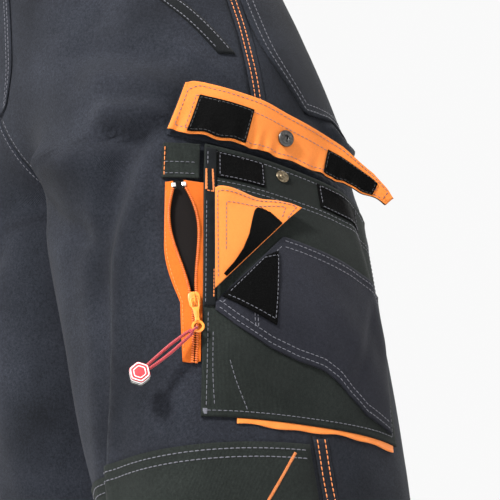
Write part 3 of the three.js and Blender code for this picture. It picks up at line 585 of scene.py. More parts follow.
CHARCOAL = cloth("charcoal_twill", (0.0085, 0.0100, 0.0140), (0.0540, 0.0590, 0.0760), 0.0007, 1500, 0.02,
                 uneven=1.9)
DARK = cloth("dark_cloth", (0.003, 0.0036, 0.004), (0.0095, 0.011, 0.0125), 0.0006, 1700, 0.03)
CANVAS_M = cloth("olive_canvas", (0.0070, 0.0092, 0.0080), (0.0340, 0.0400, 0.0360), 0.0009, 1300, 0.02, 0.0,
                 0.00016, uneven=1.4)
NAVY_M = cloth("navy_cloth", (0.0080, 0.0084, 0.0120), (0.0370, 0.0385, 0.0500), 0.0008, 1400, 0.02, 0.0,
               0.00014, uneven=1.2)
ORANGE_M = cloth("orange_cloth", (0.60, 0.155, 0.022), (0.78, 0.245, 0.05), 0.0005, 1900, 0.1, 0.0, 0.00008,
                 (0.5, 0.7), 0.25)
LINING_M = cloth("lining_cloth", (0.004, 0.0032, 0.003), (0.013, 0.010, 0.0095), 0.0008, 1200, 0.03)
TAPE_M = cloth("zip_tape", (0.42, 0.075, 0.006), (0.68, 0.155, 0.016), 0.00055, 1500, 0.05, 0.0, 0.00013,
               (0.6, 0.8), 0.3)
PAD_M = cloth("pad_fibre", (0.42, 0.38, 0.24), (0.66, 0.62, 0.44), 0.0016, 700, 0.3, 0.4, 0.0004)


def thread(name, dark, light):
    m = Mat(name, light, 0.6, Sheen_Weight=0.15)
    n = m.noise(2600, 2, 0.6)
    m.colour(m.ramp(n, dark, light))
    m.roughness(n, 0.5, 0.75)
    m.bump(m.wave(900, m.coord(False, (1, 1, 1), 0.7), "DIAGONAL", 1.0), 0.00006, 0.7)
    return m.m


GREY_T = thread("grey_thread", (0.05, 0.05, 0.062), (0.115, 0.115, 0.14))
ORANGE_T = thread("orange_thread", (0.45, 0.11, 0.015), (0.70, 0.21, 0.035))
PURPLE_T = thread("mauve_thread", (0.075, 0.045, 0.065), (0.17, 0.11, 0.14))
DARK_T = thread("dark_thread", (0.008, 0.008, 0.009), (0.03, 0.03, 0.034))


def fastener(name, level, fuzz):
    m = Mat(name, (level, level, level), 0.7)
    m.b.inputs["Specular IOR Level"].default_value = 0.03
    n = m.noise(fuzz, 4, 0.7)
    v = m.voronoi(fuzz * 0.6)
    m.colour(m.ramp(n, (level * 0.4,) * 3, (level * 2.1,) * 3))
    m.roughness(n, 0.55, 0.85)
    m.bump(v, 0.0003, 0.9)
    m.bump(n, 0.0002, 0.8)
    return m.m


LOOP_M = fastener("loop_fastener", 0.0013, 1800)
HOOK_M = fastener("hook_fastener", 0.0028, 1100)
LOOP_FUZZ = fastener("loop_fuzz", 0.008, 2400)


def metal(name, lo, hi, rough, scale=500):
    m = Mat(name, hi, rough, Metallic=1.0)
    n = m.noise(scale, 4, 0.65)
    m.colour(m.ramp(n, lo, hi))
    m.roughness(n, rough * 0.7, min(1, rough * 1.5))
    m.bump(m.noise(scale * 4, 2), 0.00003, 0.5)
    m.bump(m.voronoi(scale * 0.5), 0.00005, 0.25)
    return m.m


BRASS = metal("antique_brass", (0.07, 0.055, 0.035), (0.26, 0.21, 0.14), 0.34)
GUN = metal("gunmetal", (0.03, 0.03, 0.03), (0.12, 0.115, 0.11), 0.36)
STOP = metal("white_metal", (0.62, 0.61, 0.60), (0.86, 0.85, 0.83), 0.35)
FLY_METAL = metal("dull_brass", (0.25, 0.2, 0.12), (0.5, 0.42, 0.27), 0.4)


def plastic(name, lo, hi, rough, scale=300, coat=0.0):
    m = Mat(name, hi, rough, Coat_Weight=coat)
    n = m.noise(scale, 3, 0.6)
    m.colour(m.ramp(n, lo, hi))
    m.roughness(m.noise(scale * 3, 3), rough * 0.75, min(1, rough * 1.35))
    m.bump(m.noise(scale * 8, 2), 0.00003, 0.5)
    return m.m


# Core cord of the coil: darker red than the teeth, painted shade between the turns.
COIL_CORE_PAINTED_SHADE = plastic("coil_core_painted_shade", (0.20, 0.02, 0.003), (0.36, 0.045, 0.006), 0.5)
COIL = plastic("orange_coil", (0.55, 0.10, 0.006), (0.80, 0.185, 0.015), 0.35)
PAINT = plastic("orange_paint", (0.62, 0.185, 0.012), (0.82, 0.27, 0.028), 0.36, 260, 0.25)
BUTTON_M = plastic("button", (0.03, 0.03, 0.03), (0.08, 0.08, 0.085), 0.4)
RUBBER_RED = plastic("red_rubber", (0.28, 0.008, 0.013), (0.48, 0.02, 0.03), 0.5)
RUBBER_BLACK = plastic("black_rubber", (0.006, 0.006, 0.006), (0.02, 0.02, 0.02), 0.55)
RUBBER_WHITE = plastic("white_rubber", (0.60, 0.60, 0.58), (0.82, 0.82, 0.80), 0.5)

cord_m = Mat("red_cord", (0.6, 0.03, 0.04), 0.6, Sheen_Weight=0.2)
braid_a = cord_m.wave(420, cord_m.coord(False, (1, 1, 1), 0.6), "DIAGONAL", 0.4)
braid_b = cord_m.wave(420, cord_m.coord(False, (-1, 1, 1), -0.6), "DIAGONAL", 0.4)
braid = cord_m.math("MULTIPLY", braid_a, braid_b)
cord_m.colour(cord_m.ramp(braid, (0.15, 0.003, 0.007), (0.55, 0.03, 0.042), 0.02, 0.6))
cord_m.roughness(braid, 0.5, 0.8)
cord_m.bump(braid, 0.00025, 0.9)
CORD_M = cord_m.m

floor_m = Mat("studio_floor", (0.86, 0.86, 0.86), 0.9)
fn = floor_m.noise(3, 3)
floor_m.colour(floor_m.ramp(fn, (0.84, 0.84, 0.84), (0.88, 0.88, 0.88)))
floor_m.roughness(fn, 0.85, 0.95)
floor_m.bump(floor_m.noise(300, 2), 0.0001, 0.3)
bpy.ops.mesh.primitive_plane_add(size=FLOOR_SIZE, location=(0, 0, FLOOR_Z))
floor = bpy.context.object
floor.name = "studio_floor"
floor.data.materials.append(floor_m.m)


def keep_node(name, mat):
    """A CAD node whose shape stays: it only gets a finished surface."""
    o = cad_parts[name]
    for s in o.material_slots:
        s.material = mat
    if not o.material_slots:
        o.data.materials.append(mat)


def lerp(a, b, t):
    return a + (b - a) * t


# ------------------------------------------------------------------ trouser body
PANEL_TOP = -WAIST_BAND - GAP
DENSE = 5.0


def panel_at(side):
    def at(u, v, h):
        z = lerp(PANEL_TOP, HEM, v)
        a = lerp(GAP / 2, reach(z, side) - GAP / 2, u)
        return skin(side * a, z, h)
    return at


rows = int((PANEL_TOP - HEM) / DENSE)
pair("front_panel_cloth", "front_panel", panel_at(-1), int(300 / DENSE), rows, -CLOTH, 0, CHARCOAL)
pair("back_panel_cloth", "back_panel", panel_at(1), int(330 / DENSE), rows, -CLOTH, 0, CHARCOAL)


def whole_ring(t, z, h):
    """Point of the whole ring at a level: t from 0 (front centre, left) round the back to 1."""
    t, z, h = np.broadcast_arrays(np.asarray(t, float), np.asarray(z, float), np.asarray(h, float))
    f, b = reach(z, -1), reach(z, 1)
    d = np.where(t <= 0.5, t, 1 - t) * 2 * (f + b)
    p = skin(d - f, z, h)
    p[..., 0] *= np.where(t <= 0.5, 1, -1)
    return p


def band_h(base):
    return lambda U, V: (base * (0.55 + 0.45 * np.clip(8 * V * (1 - V), 0, 1))
                         + 0.25 * np.sin(U * 190) * np.sin(math.pi * V))


shell("waistband_cloth", lambda u, v, h: whole_ring(lerp(0.0012, 0.9988, u), lerp(0, -WAIST_BAND, v), h),
      320, 12, band_h(-1.5), band_h(1.5), DARK, "garment", ["waistband"])
WAIST_ROUND = 840
stitches("waistband_stitches", [seam_row(lambda a, b, h: whole_ring(a / WAIST_ROUND, b, h + 1.45),
                                         [(4, z), (WAIST_ROUND - 4, z)], 0.05, 2)
                                for z in (-3.2, -34.6)], GREY_T, "garment")

# Belt loops.
LOOP_OUT, LOOP_W = 9, 10
for k, f in enumerate((-0.76, -0.04, 0.74)):
    where = ("front", "side", "back")[k]
    mid = f * float(reach(-20, -1)) if f < 0 else f * float(reach(-20, 1))
    rise = lambda v: GAP + 1.5 + (LOOP_OUT - 1.8) * np.minimum(1, 3.2 * np.sin(math.pi * v) ** 2)
    at = lambda u, v, h: skin(mid + lerp(-LOOP_W / 2, LOOP_W / 2, u), lerp(-2, -36, v), h)
    crown = lambda U: 0.35 * (1 - (2 * U - 1) ** 2)
    pair(f"belt_loop_{where}_cloth", f"belt_loop_{where}", at, 8, 36, lambda U, V: rise(V),
         lambda U, V: rise(V) + 1.0 + crown(U), CHARCOAL)
    bar_rows = []
    for z0 in (-4.5, -33.5):
        for w in np.linspace(-1.2, 1.2, 4):
            a = np.linspace(mid - 4.2, mid + 4.2, 8)
            v = (z0 + w + 2) / -34
            lift = float(rise(v))
            bar_rows.append(row_on(skin, a, np.full(8, z0 + w), lift + 1.35, lift + 4))
    stitch_pair(f"belt_loop_{where}_bartacks", bar_rows, GREY_T, 3.6, 0.2, 0.32)

# Front pocket welts and bags, fly.
mouth_a = lambda v: lerp(-100, -14, v)
mouth_z = lambda v: lerp(PANEL_TOP - 3, -192, v)
welt_at = lambda u, v, h: skin(mouth_a(v) + lerp(-7, 7, u), mouth_z(v), h)
pair("front_pocket_welt_cloth", "front_pocket_welt", welt_at, 8, 60, GAP - 0.1,
     lambda U, V: GAP + 0.9 + 0.5 * np.sin(math.pi * U) ** 0.5, DARK)
welt_rows = []
for d in (-5, 4.6):
    v = np.linspace(0.02, 0.98, 80)
    welt_rows.append(row_on(skin, mouth_a(v) + d, mouth_z(v), GAP + 1.25, GAP + 4))
stitch_pair("front_pocket_stitches", welt_rows, GREY_T)


def bag_at(u, v, h):
    z = lerp(PANEL_TOP - 6, -225, v)
    return skin(lerp(-12, -128 * (1 - 0.35 * v * v), u), z, h - 0.5 * np.sin(9 * u) * np.sin(7 * v))


pair("front_pocket_bag_cloth", "front_pocket_bag", bag_at, 24, 30, -3.1, -2.3, LINING_M)


def front_at(x, z, h):
    return skin(-(reach(z, -1) - np.maximum(0, x - CENTRE_GAP)), z, h)


FLY_W, FLY_BOTTOM = 38, -168


def fly_at(u, v, h):
    z = lerp(PANEL_TOP - 2, FLY_BOTTOM, v)
    r = np.clip((z - FLY_BOTTOM) / 40, 0, 1)
    w = 7 + (FLY_W - 7) * np.sqrt(1 - (1 - r) ** 2)
    return front_at(CENTRE_GAP + 1 + (w - CENTRE_GAP - 1) * u, z, h)


shell("fly_placket_cloth", fly_at, 14, 50, GAP, lambda U, V: GAP + 1.2 + 0.25 * np.sin(V * 40) * (1 - U),
      CHARCOAL, "garment", ["fly_placket"])
fly_rows = [row_on(fly_at, np.full(90, d), np.linspace(0.01, 0.985, 90), GAP + 1.25, GAP + 4)
            for d in (0.88, 0.76)]
stitches("fly_stitches", fly_rows, GREY_T, "garment")
keep_node("fly_zip_tape", DARK)
keep_node("fly_zip_slider", FLY_METAL)
keep_node("waist_button", BUTTON_M)

# Back pockets.
BACK_W, BACK_H = 110, 132
BACK_EDGE = np.array([[-236, 48], [-222, 40], [-183, 18], [-150, 12], [-104, 10]], float)


def back_pocket_at(u, v, h):
    z = lerp(-104, -236, v)
    a0 = smooth(BACK_EDGE, z, 1)
    return skin(a0 + (150 - a0) * u, z, h)


puff = lambda U, V: 1.6 * np.sin(math.pi * U) * (1 - V)
roll = lambda U, V: 0.5 * near(margin(U, BACK_W), 2.5) + 0.5 * near((1 - V) * BACK_H, 2.5)
pair("back_pocket_cloth", "back_pocket", back_pocket_at, 30, 34, lambda U, V: GAP + 0.1 + puff(U, V),
     lambda U, V: GAP + 1.4 + puff(U, V) + roll(U, V), CHARCOAL)
bp_rows = []
for inset in (4.0, 9.0):
    x, y = inset / BACK_W, 1 - inset / BACK_H
    v = np.linspace(0, y, 60)
    left = np.stack([np.full(60, x), v], -1)
    low = np.stack([np.linspace(x, 1 - x, 50), np.full(50, y)], -1)
    path = np.concatenate([left, low[1:], np.stack([np.full(60, 1 - x), v[::-1]], -1)])
    lift = GAP + 1.45 + puff(path[:, 0], path[:, 1])
    bp_rows.append(row_on(back_pocket_at, path[:, 0], path[:, 1], lift, lift + 3))
stitch_pair("back_pocket_stitches", bp_rows, GREY_T)

# Outer seam: a raised fell and two rows of orange thread. The seam goes behind the pocket.
def fell(z0, z1, name):
    at = lambda u, v, h: skin(lerp(0.4, 11.5, u), lerp(z0, z1, v), h)
    n = int((z0 - z1) / 4)
    left = shell(f"{name}_left", at, 12, n, GAP * 0.1, lambda U, V: 0.75 + 0.35 * np.sin(math.pi * U) ** 0.4
                 + 0.12 * np.sin(V * (z0 - z1) / 3.1), CHARCOAL, "garment")
    mirror(f"{name}_right", left)


SEAM_TOP, POCKET_TOP, POCKET_LOW, SEAM_LOW = -40, -262, -494, -1024
fell(SEAM_TOP, POCKET_TOP, "outer_seam_fell_upper")
fell(POCKET_LOW, SEAM_LOW, "outer_seam_fell_lower")


def side_rows(z0, z1, a0, a1):
    z = np.arange(z0, z1, -2.0)
    return [row_on(skin, a + 0.25 * np.sin(z / 9), z, 1.12, 4) for a in (a0, a1)]


stitch_pair("outer_seam_stitches", side_rows(SEAM_TOP, POCKET_TOP, 2.6, 6.8)
            + side_rows(POCKET_LOW, SEAM_LOW + 2, 2.6, 8.6), ORANGE_T, 2.9, 0.9, 0.42)

# Inner leg and centre seams: one row each.
inner_rows = []
for side in (-1, 1):
    for top, low in ((-254, HEM + 28), (-172 if side < 0 else -42, -246)):
        z = np.arange(top, low, -2.0)
        inner_rows.append(row_on(skin, side * (reach(z, side) - 4), z, 0.08, 3))
stitch_pair("inner_seam_stitches", inner_rows, GREY_T)

# Knee patches.
KNEE_TOP, KNEE_LOW, KNEE_H = -489, -780, 290


def knee_at(u, v, h):
    dip = 11 * (2 * u - 0.9) ** 2
    z = lerp(KNEE_TOP - dip, KNEE_LOW, v)
    a = lerp(4, reach(z, -1) - 4, u)
    return skin(-a, z, h)


knee_roll = lambda U, V: 0.55 * near(V * KNEE_H, 3.0)
knee_wave = lambda U, V: 0.5 * np.sin(U * 22 + V * 9) * np.sin(V * 31 - U * 6) * np.clip(V * 20, 0, 1)
pair("knee_patch_cloth", "knee_patch", knee_at, 60, 60, lambda U, V: GAP - 0.2 + 0 * U,
     lambda U, V: GAP + 1.2 + knee_roll(U, V) + 0.4 * knee_wave(U, V), CANVAS_M)
u = np.linspace(0.01, 0.985, 160)
knee_rows = [row_on(knee_at, u, np.full(160, d), GAP + 1.35, GAP + 4)
             for d in (4.5 / KNEE_H, 10.5 / KNEE_H, 0.985, 0.965)]
stitch_pair("knee_stitches", knee_rows, GREY_T, 3.0, 0.9, 0.42)
# Shaped knee dart: one line of orange satin stitches running down and forward.
dart = []
pa, pb = (-7, -492), (-52, -549)
for t in np.linspace(0, 1, 90):
    a, z = lerp(pa[0], pb[0], t), lerp(pa[1], pb[1], t)
    w = 1.15
    aa, zz = np.array([a - w * 0.72, a, a + w * 0.72]), np.array([z + w * 0.6, z, z - w * 0.6])
    dart.append(row_on(skin, aa, zz, GAP + 1.55, GAP + 4.5))
stitch_pair("knee_dart_stitches", dart, ORANGE_T, 2.1, 0.05, 0.36)

# Hems.
def hem_at(u, v, h):
    z = lerp(HEM + 26, HEM + 1, v)
    f, b = reach(z, -1), reach(z, 1)
    return skin(lerp(-f + 0.4, b - 0.4, u), z, h)


pair("hem_band_cloth", "hem_band", hem_at, 120, 8, GAP - 0.1,
     lambda U, V: GAP + 1.1 + 0.4 * np.sin(math.pi * V) ** 0.3
     + 0.15 * np.sin(U * 160), CHARCOAL)
hem_rows = [row_on(hem_at, np.linspace(0.003, 0.997, 260), np.full(260, d), GAP + 1.35, GAP + 4)
            for d in (0.12, 0.24)]
stitch_pair("hem_stitches", hem_rows, GREY_T, 3.0, 1.0, 0.38)


# Protective pads inside the legs.
def pad_at(u, v, h):
    z = lerp(-285, HEM + 45, v)
    return skin(-lerp(12, reach(z, -1) - 12, u), z, h)


quilt = lambda U, V: 0.8 * np.clip(1 - np.abs(np.sin(V * 36)) ** 0.3, 0, 1)
PAD_W, PAD_H = 280, 720
pad_edge = lambda U, V: 1.2 * (near(margin(U, PAD_W), 4) + near(margin(V, PAD_H), 5)).clip(0, 1)
pads = pair("protective_pad_cloth", "protective_pad", pad_at, 40, 110,
            lambda U, V: -6.2 + quilt(U, V) + pad_edge(U, V),
            lambda U, V: -2.8 - 0.3 * quilt(U, V) - pad_edge(U, V) * 0.6, PAD_M)


# ------------------------------------------------------------------ frames of the moving parts
def unit(v):
    return v / np.linalg.norm(v)


def on_leg0(p, q, h):
    return flat_skin(POCKET_AT[0] + p * CT + q * ST, POCKET_AT[1] - p * ST + q * CT, h)


def on_face0(p, q, h):
    return on_leg0(p, q, stand(p, q) + CANVAS + h)


def basis(o, x, n):
    """Frame with origin o, x along x as nearly as z along n allows; returns a mapping."""
    z = unit(n)
    y = unit(np.cross(z, x))
    xx = unit(np.cross(y, z))
    return np.array(o), np.stack([xx, y, z])


def place(fr, x, y, z):
    x, y, z = np.broadcast_arrays(np.asarray(x, float), np.asarray(y, float), np.asarray(z, float))
    return fr[0] + x[..., None] * fr[1][0] + y[..., None] * fr[1][1] + z[..., None] * fr[1][2]


ZIP_REST, ZIP_TOP, ZIP_LIFT, ZIP_SINK, ROW_SHIFT = (-5.6, 82), (-17, 171), 4.4, 2.9, 5.2
ZIP_BELOW, ZIP_HALF, TOOTH_W, TOOTH_T, TAPE_T, ZIP_START = 44, 8.8, 2.2, 2.4, 0.9, 6.5
zip_a, zip_b = on_leg0(*ZIP_REST, ZIP_LIFT), on_leg0(*ZIP_TOP, ZIP_LIFT)
mid_p, mid_q = lerp(ZIP_REST[0], ZIP_TOP[0], 0.3), lerp(ZIP_REST[1], ZIP_TOP[1], 0.3)
zip_n = on_leg0(mid_p, mid_q, 10) - on_leg0(mid_p, mid_q, 0)
zip_up = unit(zip_b - zip_a)
zip_out = unit(zip_n - zip_up * np.dot(zip_n, zip_up))
ZIP = basis(zip_a, zip_up, zip_out)
ZIP_LEN = float(np.linalg.norm(zip_b - zip_a))


def leaf(x):
    t = np.clip((x - ZIP_START) / (ZIP_LEN - ZIP_START), 0, 1)
    wide = 1.25 + (ZIP_HALF - 1.25) * np.sin(math.pi * t ** 1.5) + 1.3 * t ** 3
    return np.where(x < -1, 0.25, np.where(x < ZIP_START, 0.25 + (x + 1) / (ZIP_START + 1), wide))


def closed(x):
    return np.where(x < 0, (np.abs(np.minimum(x, 0)) / ZIP_BELOW) ** 1.4, 0)


# ------------------------------------------------------------------ cargo pocket
def pocket_at(u, v, h):
    p, q = u * POCKET_W, v * mouth(u * POCKET_W)
    return on_leg(p, q, stand(p, q) + h + rumple(p, q))


edge_roll = lambda U, V: 0.55 * near(margin(U, POCKET_W), 2.2) + 0.6 * near(margin(V, POCKET_H), 2.4)
shell("cargo_pocket_cloth", pocket_at, 80, 100, 0, lambda U, V: CANVAS + edge_roll(U, V), CANVAS_M,
      "garment", ["cargo_pocket"])


def face_rows(paths, h=0.12):
    return [seam_row(on_face, path, h) for path in paths]


m = lambda p: float(mouth(p))
stitches("cargo_pocket_stitches", face_rows([
    curve_of([(3.6, 74), (3.6, 40), (3.4, 4.2)], 60),
    curve_of([(3.4, 4.2), (60, 4.4), (110, 5), (154, 6)], 80),
    curve_of([(154, 6), (154.4, 90), (153.5, m(154) - 4)], 60),
    curve_of([(4, m(4) - 4.2), (80, m(80) - 4.2), (153, m(153) - 4.2)], 60),
    curve_of([(8, 176), (60, 169.5), (153, 159)], 70), curve_of([(8, 172), (60, 165.5), (153, 155)], 70),
    curve_of([(18, 40), (24, 22), (31, 5)], 20), curve_of([(7, 60), (7.4, 30), (9, 6)], 30)]), GREY_T,
    "garment", 2.7, 1.0, 0.3)
tacks = []
for k in range(11):
    w = 0.7 * (k - 5) / 2
    tacks.append(seam_row(on_face, [(0.8, 3.5 + w), (4.6, 3.5 + w)], 0.25, 1.0))
stitches("cargo_pocket_bartacks", tacks, GREY_T, "garment", 3.4, 0.2, 0.34)

wave_low = lambda p: 1.1 * np.sin(p / 13) + 0.8 * np.sin(p / 5.1 + 1)
shell("pocket_lining_cloth",
      lambda u, v, h: on_leg(lerp(24, 154, u), lerp(-4.6 + wave_low(lerp(24, 154, u)) * 0.7, -0.35, v), h),
      90, 6, GAP, lambda U, V: GAP + 1 + 0.35 * np.sin(U * 60) * (1 - V), ORANGE_M, "garment",
      ["pocket_lining"])
bind_at = lambda u, v, h: on_face(lerp(0.6, 8, u), lerp(78, m(0) - 3, v), h)
shell("front_binding_cloth", bind_at, 10, 90, GAP * 0.5,
      lambda U, V: GAP + 0.9 + 0.5 * np.sin(math.pi * U) ** 0.6
      + 0.25 * np.sin(V * 60) * np.sin(math.pi * U), DARK, "garment", ["front_binding"])
stitches("front_binding_stitches", face_rows(
    [[(6.7, 84), (6.7, 108)], [(1.8, 168), (1.4, 184)], [(6.6, 166), (5.6, 184)], [(1.6, 167), (6.6, 166)]],
    GAP + 1.35), ORANGE_T, "garment", 2.2, 0.5, 0.42)
solid_bars = []
for p0, p1, q0, q1 in ((1.2, 1.2, 168, 184), (6.2, 5.4, 166, 184)):
    for k in range(26):
        t = k / 25
        p, q = lerp(p0, p1, t), lerp(q0, q1, t)
        solid_bars.append(seam_row(on_face, [(p - 0.75, q), (p + 0.75, q)], GAP + 1.5, 0.6))
stitches("front_binding_bartacks", solid_bars, ORANGE_T, "garment", 1.3, 0.1, 0.36)
stitches("front_binding_edge_stitches", face_rows([[(1.6, 80), (1.6, 160)], [(2.0, 188), (2.0, 200)]],
                                                  GAP + 1.2), GREY_T, "garment")


# Hook and loop patches. The loops stand up as fine curled fibres.
def fibres(name, at, skew, count, height, mat, curl, r):
    blocks = []
    rnd = np.random.default_rng(hash_name(name))
    for _ in range(count):
        u, v = rnd.random(2)
        p, q = skew(u, v)
        an = rnd.random() * ROUND
        tall = height * (0.5 + 0.7 * rnd.random())
        out = curl * (0.4 + rnd.random())
        steps = np.array([0, 0.35, 0.75, 1.0])
        rise = tall * np.sin(math.pi * 0.62 * steps)
        along, up_ = p + out * steps * math.cos(an), q + out * steps * math.sin(an)
        blocks.append(tube_data(np.array([at(*w) for w in zip(along, up_, rise)]), r, 3, False))
    new_object(name, *merge(blocks), mat, "garment")


def hash_name(name):
    """Seed of a piece's own random draws."""
    return sum((i + 1) * ord(c) for i, c in enumerate(name))


def loop_patch(name, node, at, skew, count):
    top = lambda U, V: 1.3 + GAP - 0.35 * (near(margin(U, 40), 1.2) + near(margin(V, 20), 1.0)).clip(0, 1)
    surf = lambda u, v, h: at(*skew(u, v), h)
    shell(name, surf, 60, 36, GAP, lambda U, V: top(U, V) - 0.25 + 0.2 * RNG.random(U.shape), LOOP_M,
          "garment", [node])
    base = lambda a, b, h: at(a, b, h + 1.2)
    fibres(name + "_fibres", base, skew, count, 0.55, LOOP_FUZZ, 1.3, 0.05)
    ring = [(0.04, 0.06), (0.96, 0.06), (0.96, 0.94), (0.04, 0.94), (0.04, 0.06)]
    pts = []
    for (u0, v0), (u1, v1) in zip(ring, ring[1:]):
        for t in np.linspace(0, 1, 16, endpoint=False):
            pts.append(skew(lerp(u0, u1, t), lerp(v0, v1, t)))
    pts.append(skew(*ring[0]))
    stitches(name + "_stitches", [seam_row(at, pts, 1.55)], GREY_T, "garment", 2.4, 1.0, 0.27)


for where, p0, p1 in (("front", 9, 43), ("rear", 88, 132)):
    loop_patch(f"loop_patch_{where}_pile", f"loop_patch_{where}", on_face,
               lambda u, v: (lerp(p0, p1, u), lerp(180, 201, v) - TOP_FALL * lerp(p0, p1, u)), 900)

# Panel over the upper end of the zip.
TAB_P0, TAB_P1, TAB_RISE = -29, -3, 2.6
tab_at = lambda u, v, h: on_leg(lerp(TAB_P0, TAB_P1, u), lerp(177.5, 205, v), h)
shell("tab_panel_cloth", tab_at, 24, 26, lambda U, V: GAP + TAB_RISE * U,
      lambda U, V: GAP + 1.2 + TAB_RISE * U + 0.6 * near(V * 27, 2.5)
      + 0.3 * np.sin(U * 14 + V * 5), CANVAS_M, "garment", ["tab_panel"])
tab_top = lambda a, b, h: on_leg(a, b, h + GAP + 1.25 + TAB_RISE
                                 * np.clip((a - TAB_P0) / (TAB_P1 - TAB_P0), 0, 1))
stitches("tab_panel_stitches", [seam_row(tab_top, [(-28, 181), (-4, 181)], 0.35),
                                seam_row(tab_top, [(-28, 190), (-4, 190)],
                                         0.3)], GREY_T, "garment", 2.6, 1.2, 0.3)
stitches("tab_panel_edge_stitches", [seam_row(tab_top, [(-27.4, 179), (-27.6, 204)], 0.35)], ORANGE_T,
         "garment", 3.2, 0.7, 0.36)

# ------------------------------------------------------------------ phone pocket
PHONE_P0, PHONE_P1 = 8, 150
PHONE_LOW = [[7, 76], [22, 64], [45, 50], [64, 43], [84, 39], [96, 33], [106, 25], [122, 14], [150, 7]]
PHONE_UP = [[7, 80], [54, 136], [66, 134], [97, 127], [150, 116]]
table_at = lambda table, x: np.interp(x, [r[0] for r in table], [r[1] for r in table])


def phone_lift(u, v):
    return GAP + 0.3 + 1.6 * np.sin(math.pi * v) * np.sin(math.pi * np.minimum(1, 0.1 + u))


def phone_at(u, v, h):
    p = lerp(PHONE_P0, PHONE_P1, u)
    q = lerp(table_at(PHONE_LOW, p), table_at(PHONE_UP, p), v)
    return on_face(p, q, h)


p_roll = lambda U, V: 0.5 * near(margin(V, 90), 2.2)
p_wave = lambda U, V: (0.7 * np.sin(U * 17 + V * 5) * np.sin(V * 9 - U * 4) + 0.9
                       * near(U - 0.62 - 0.25 * V, 0.035)
                       - 0.8 * near(U - 0.70 - 0.22 * V, 0.03)) * np.sin(math.pi * V) ** 0.6
shell("phone_pocket_cloth", phone_at, 90, 50, lambda U, V: phone_lift(U, V) - 0.2,
      lambda U, V: phone_lift(U, V) + 1.0 + p_roll(U, V)
      + p_wave(U, V), NAVY_M, "garment", ["phone_pocket"])


def navy(p, q, h):
    p, q = np.asarray(p, float), np.asarray(q, float)
    u = (p - PHONE_P0) / (PHONE_P1 - PHONE_P0)
    lo, hi = table_at(PHONE_LOW, p), table_at(PHONE_UP, p)
    v = np.clip((q - lo) / (hi - lo), 0, 1)
    return on_face(p, q, h + phone_lift(u, v) + 1.0 + p_wave(u, v) + p_roll(u, v))


up_line = np.array([[p, table_at(PHONE_UP, p)] for p in np.linspace(55, 149, 60)])
low_line = np.array([[p, table_at(PHONE_LOW, p)] for p in np.linspace(10, 149, 90)])
mouth_line = np.array([[p, table_at(PHONE_UP, p)] for p in np.linspace(10, 53, 40)])
shift = lambda line, dq, dp=0: line + np.array([dp, dq])
stitches("phone_pocket_stitches", [seam_row(navy, shift(up_line, -3), 0.1),
                                   seam_row(navy, shift(up_line, -8), 0.1),
                                   seam_row(navy, shift(low_line, 3.2), 0.1),
                                   seam_row(navy, shift(low_line, 8), 0.1),
                                   seam_row(navy, shift(mouth_line, -4, 2), 0.1),
                                   seam_row(navy, [(32, 82), (34, 62)], 0.15),
                                   seam_row(navy, [(34, 82), (36, 62)], 0.15)],
         GREY_T, "garment", 2.7, 1.0, 0.32)
LPQ = [(11.5, 84), (47.5, 66), (49, 123), (40, 117.5)]
phone_skew = lambda u, v: (lerp(lerp(LPQ[0][0], LPQ[1][0], u), lerp(LPQ[3][0], LPQ[2][0], u), v),
                           lerp(lerp(LPQ[0][1], LPQ[1][1], u), lerp(LPQ[3][1], LPQ[2][1], u), v))
loop_patch("phone_loop_patch_pile", "phone_loop_patch", lambda a, b, h: on_face(a, b, h + 2.9), phone_skew,
           1500)

# Phone flap: the lining faces out, the hook strip is along the crease.
PH_D, PH_A, PH_B, PH_C = (6, 88), (3.4, 167), (66, 160), (56, 147)


def face_normal(p, q):
    return unit(np.cross(on_face0(p + 2, q, 0) - on_face0(p - 2, q, 0),
                         on_face0(p, q + 2, 0) - on_face0(p, q - 2, 0)))


PH_T, PH_TILT = 2.2, math.radians(3)
ph_mid = (lerp(PH_D[0], PH_C[0], 0.5), lerp(PH_D[1], PH_C[1], 0.5))
ph_n = face_normal(*ph_mid)
ph_dir = on_face0(*PH_C, 0) - on_face0(*PH_D, 0)
ph_at = on_face0(*ph_mid, 0) + ph_n * (PH_T / 2 + GAP + 0.3)
ph_dir = unit(ph_dir - ph_n * np.dot(ph_dir, ph_n))
ph_up = unit(np.cross(ph_n, ph_dir))
ph_open = ph_up * math.cos(PH_TILT) + ph_n * math.sin(PH_TILT)
PHF = basis(ph_at, ph_dir, np.cross(ph_dir, ph_open))


def ph_local(pq):
    w = on_face0(*pq, 0) - PHF[0]
    return np.array([w @ PHF[1][0], w @ PHF[1][1]])


fa, fb, fc, fd = [ph_local(c) for c in (PH_A, PH_B, PH_C, PH_D)]
fd, fc = np.array([fd[0], 0.5]), np.array([fc[0], 0.5])


def flap_xy(u, v):
    low = np.stack([lerp(fd[0], fc[0], u), lerp(fd[1], fc[1], u)], -1)
    top = np.stack([lerp(fa[0], fb[0], u), lerp(fa[1], fb[1], u)], -1)
    xy = low + (top - low) * v[..., None]
    # Soft corners and a wavy free edge.
    xy[..., 1] += (v * (1.6 * np.sin(u * 9 + 0.4) * np.sin(math.pi * u))
                   - 2.5 * v * (near(u, 0.05) + near(1 - u, 0.05)))
    return xy


def ph_bend(u, v):
    return (1.6 * np.sin(math.pi * v) * np.sin(math.pi * u * 0.9 + 0.2)
            + 1.8 * v ** 2 * np.sin(u * 5.2 + 0.6) + 1.2 * ss(v, 0.75, 1) * np.sin(u * 9))


def phone_flap_at(u, v, h):
    xy = flap_xy(u, v)
    return place(PHF, xy[..., 0], xy[..., 1], h + ph_bend(u, v))


def two_sided(name, at, nu, nv, h0, h1, mats, body, nodes):
    """Sheet whose outer face is mats[0], back face mats[1] and edges mats[2]."""
    v, f, uv = shell_data(at, nu, nv, h0, h1)
    index = [0, 1] * (nu * nv) + [2] * (2 * nu + 2 * nv)
    return new_object(name, v, f, mats, body, nodes, uv, index)


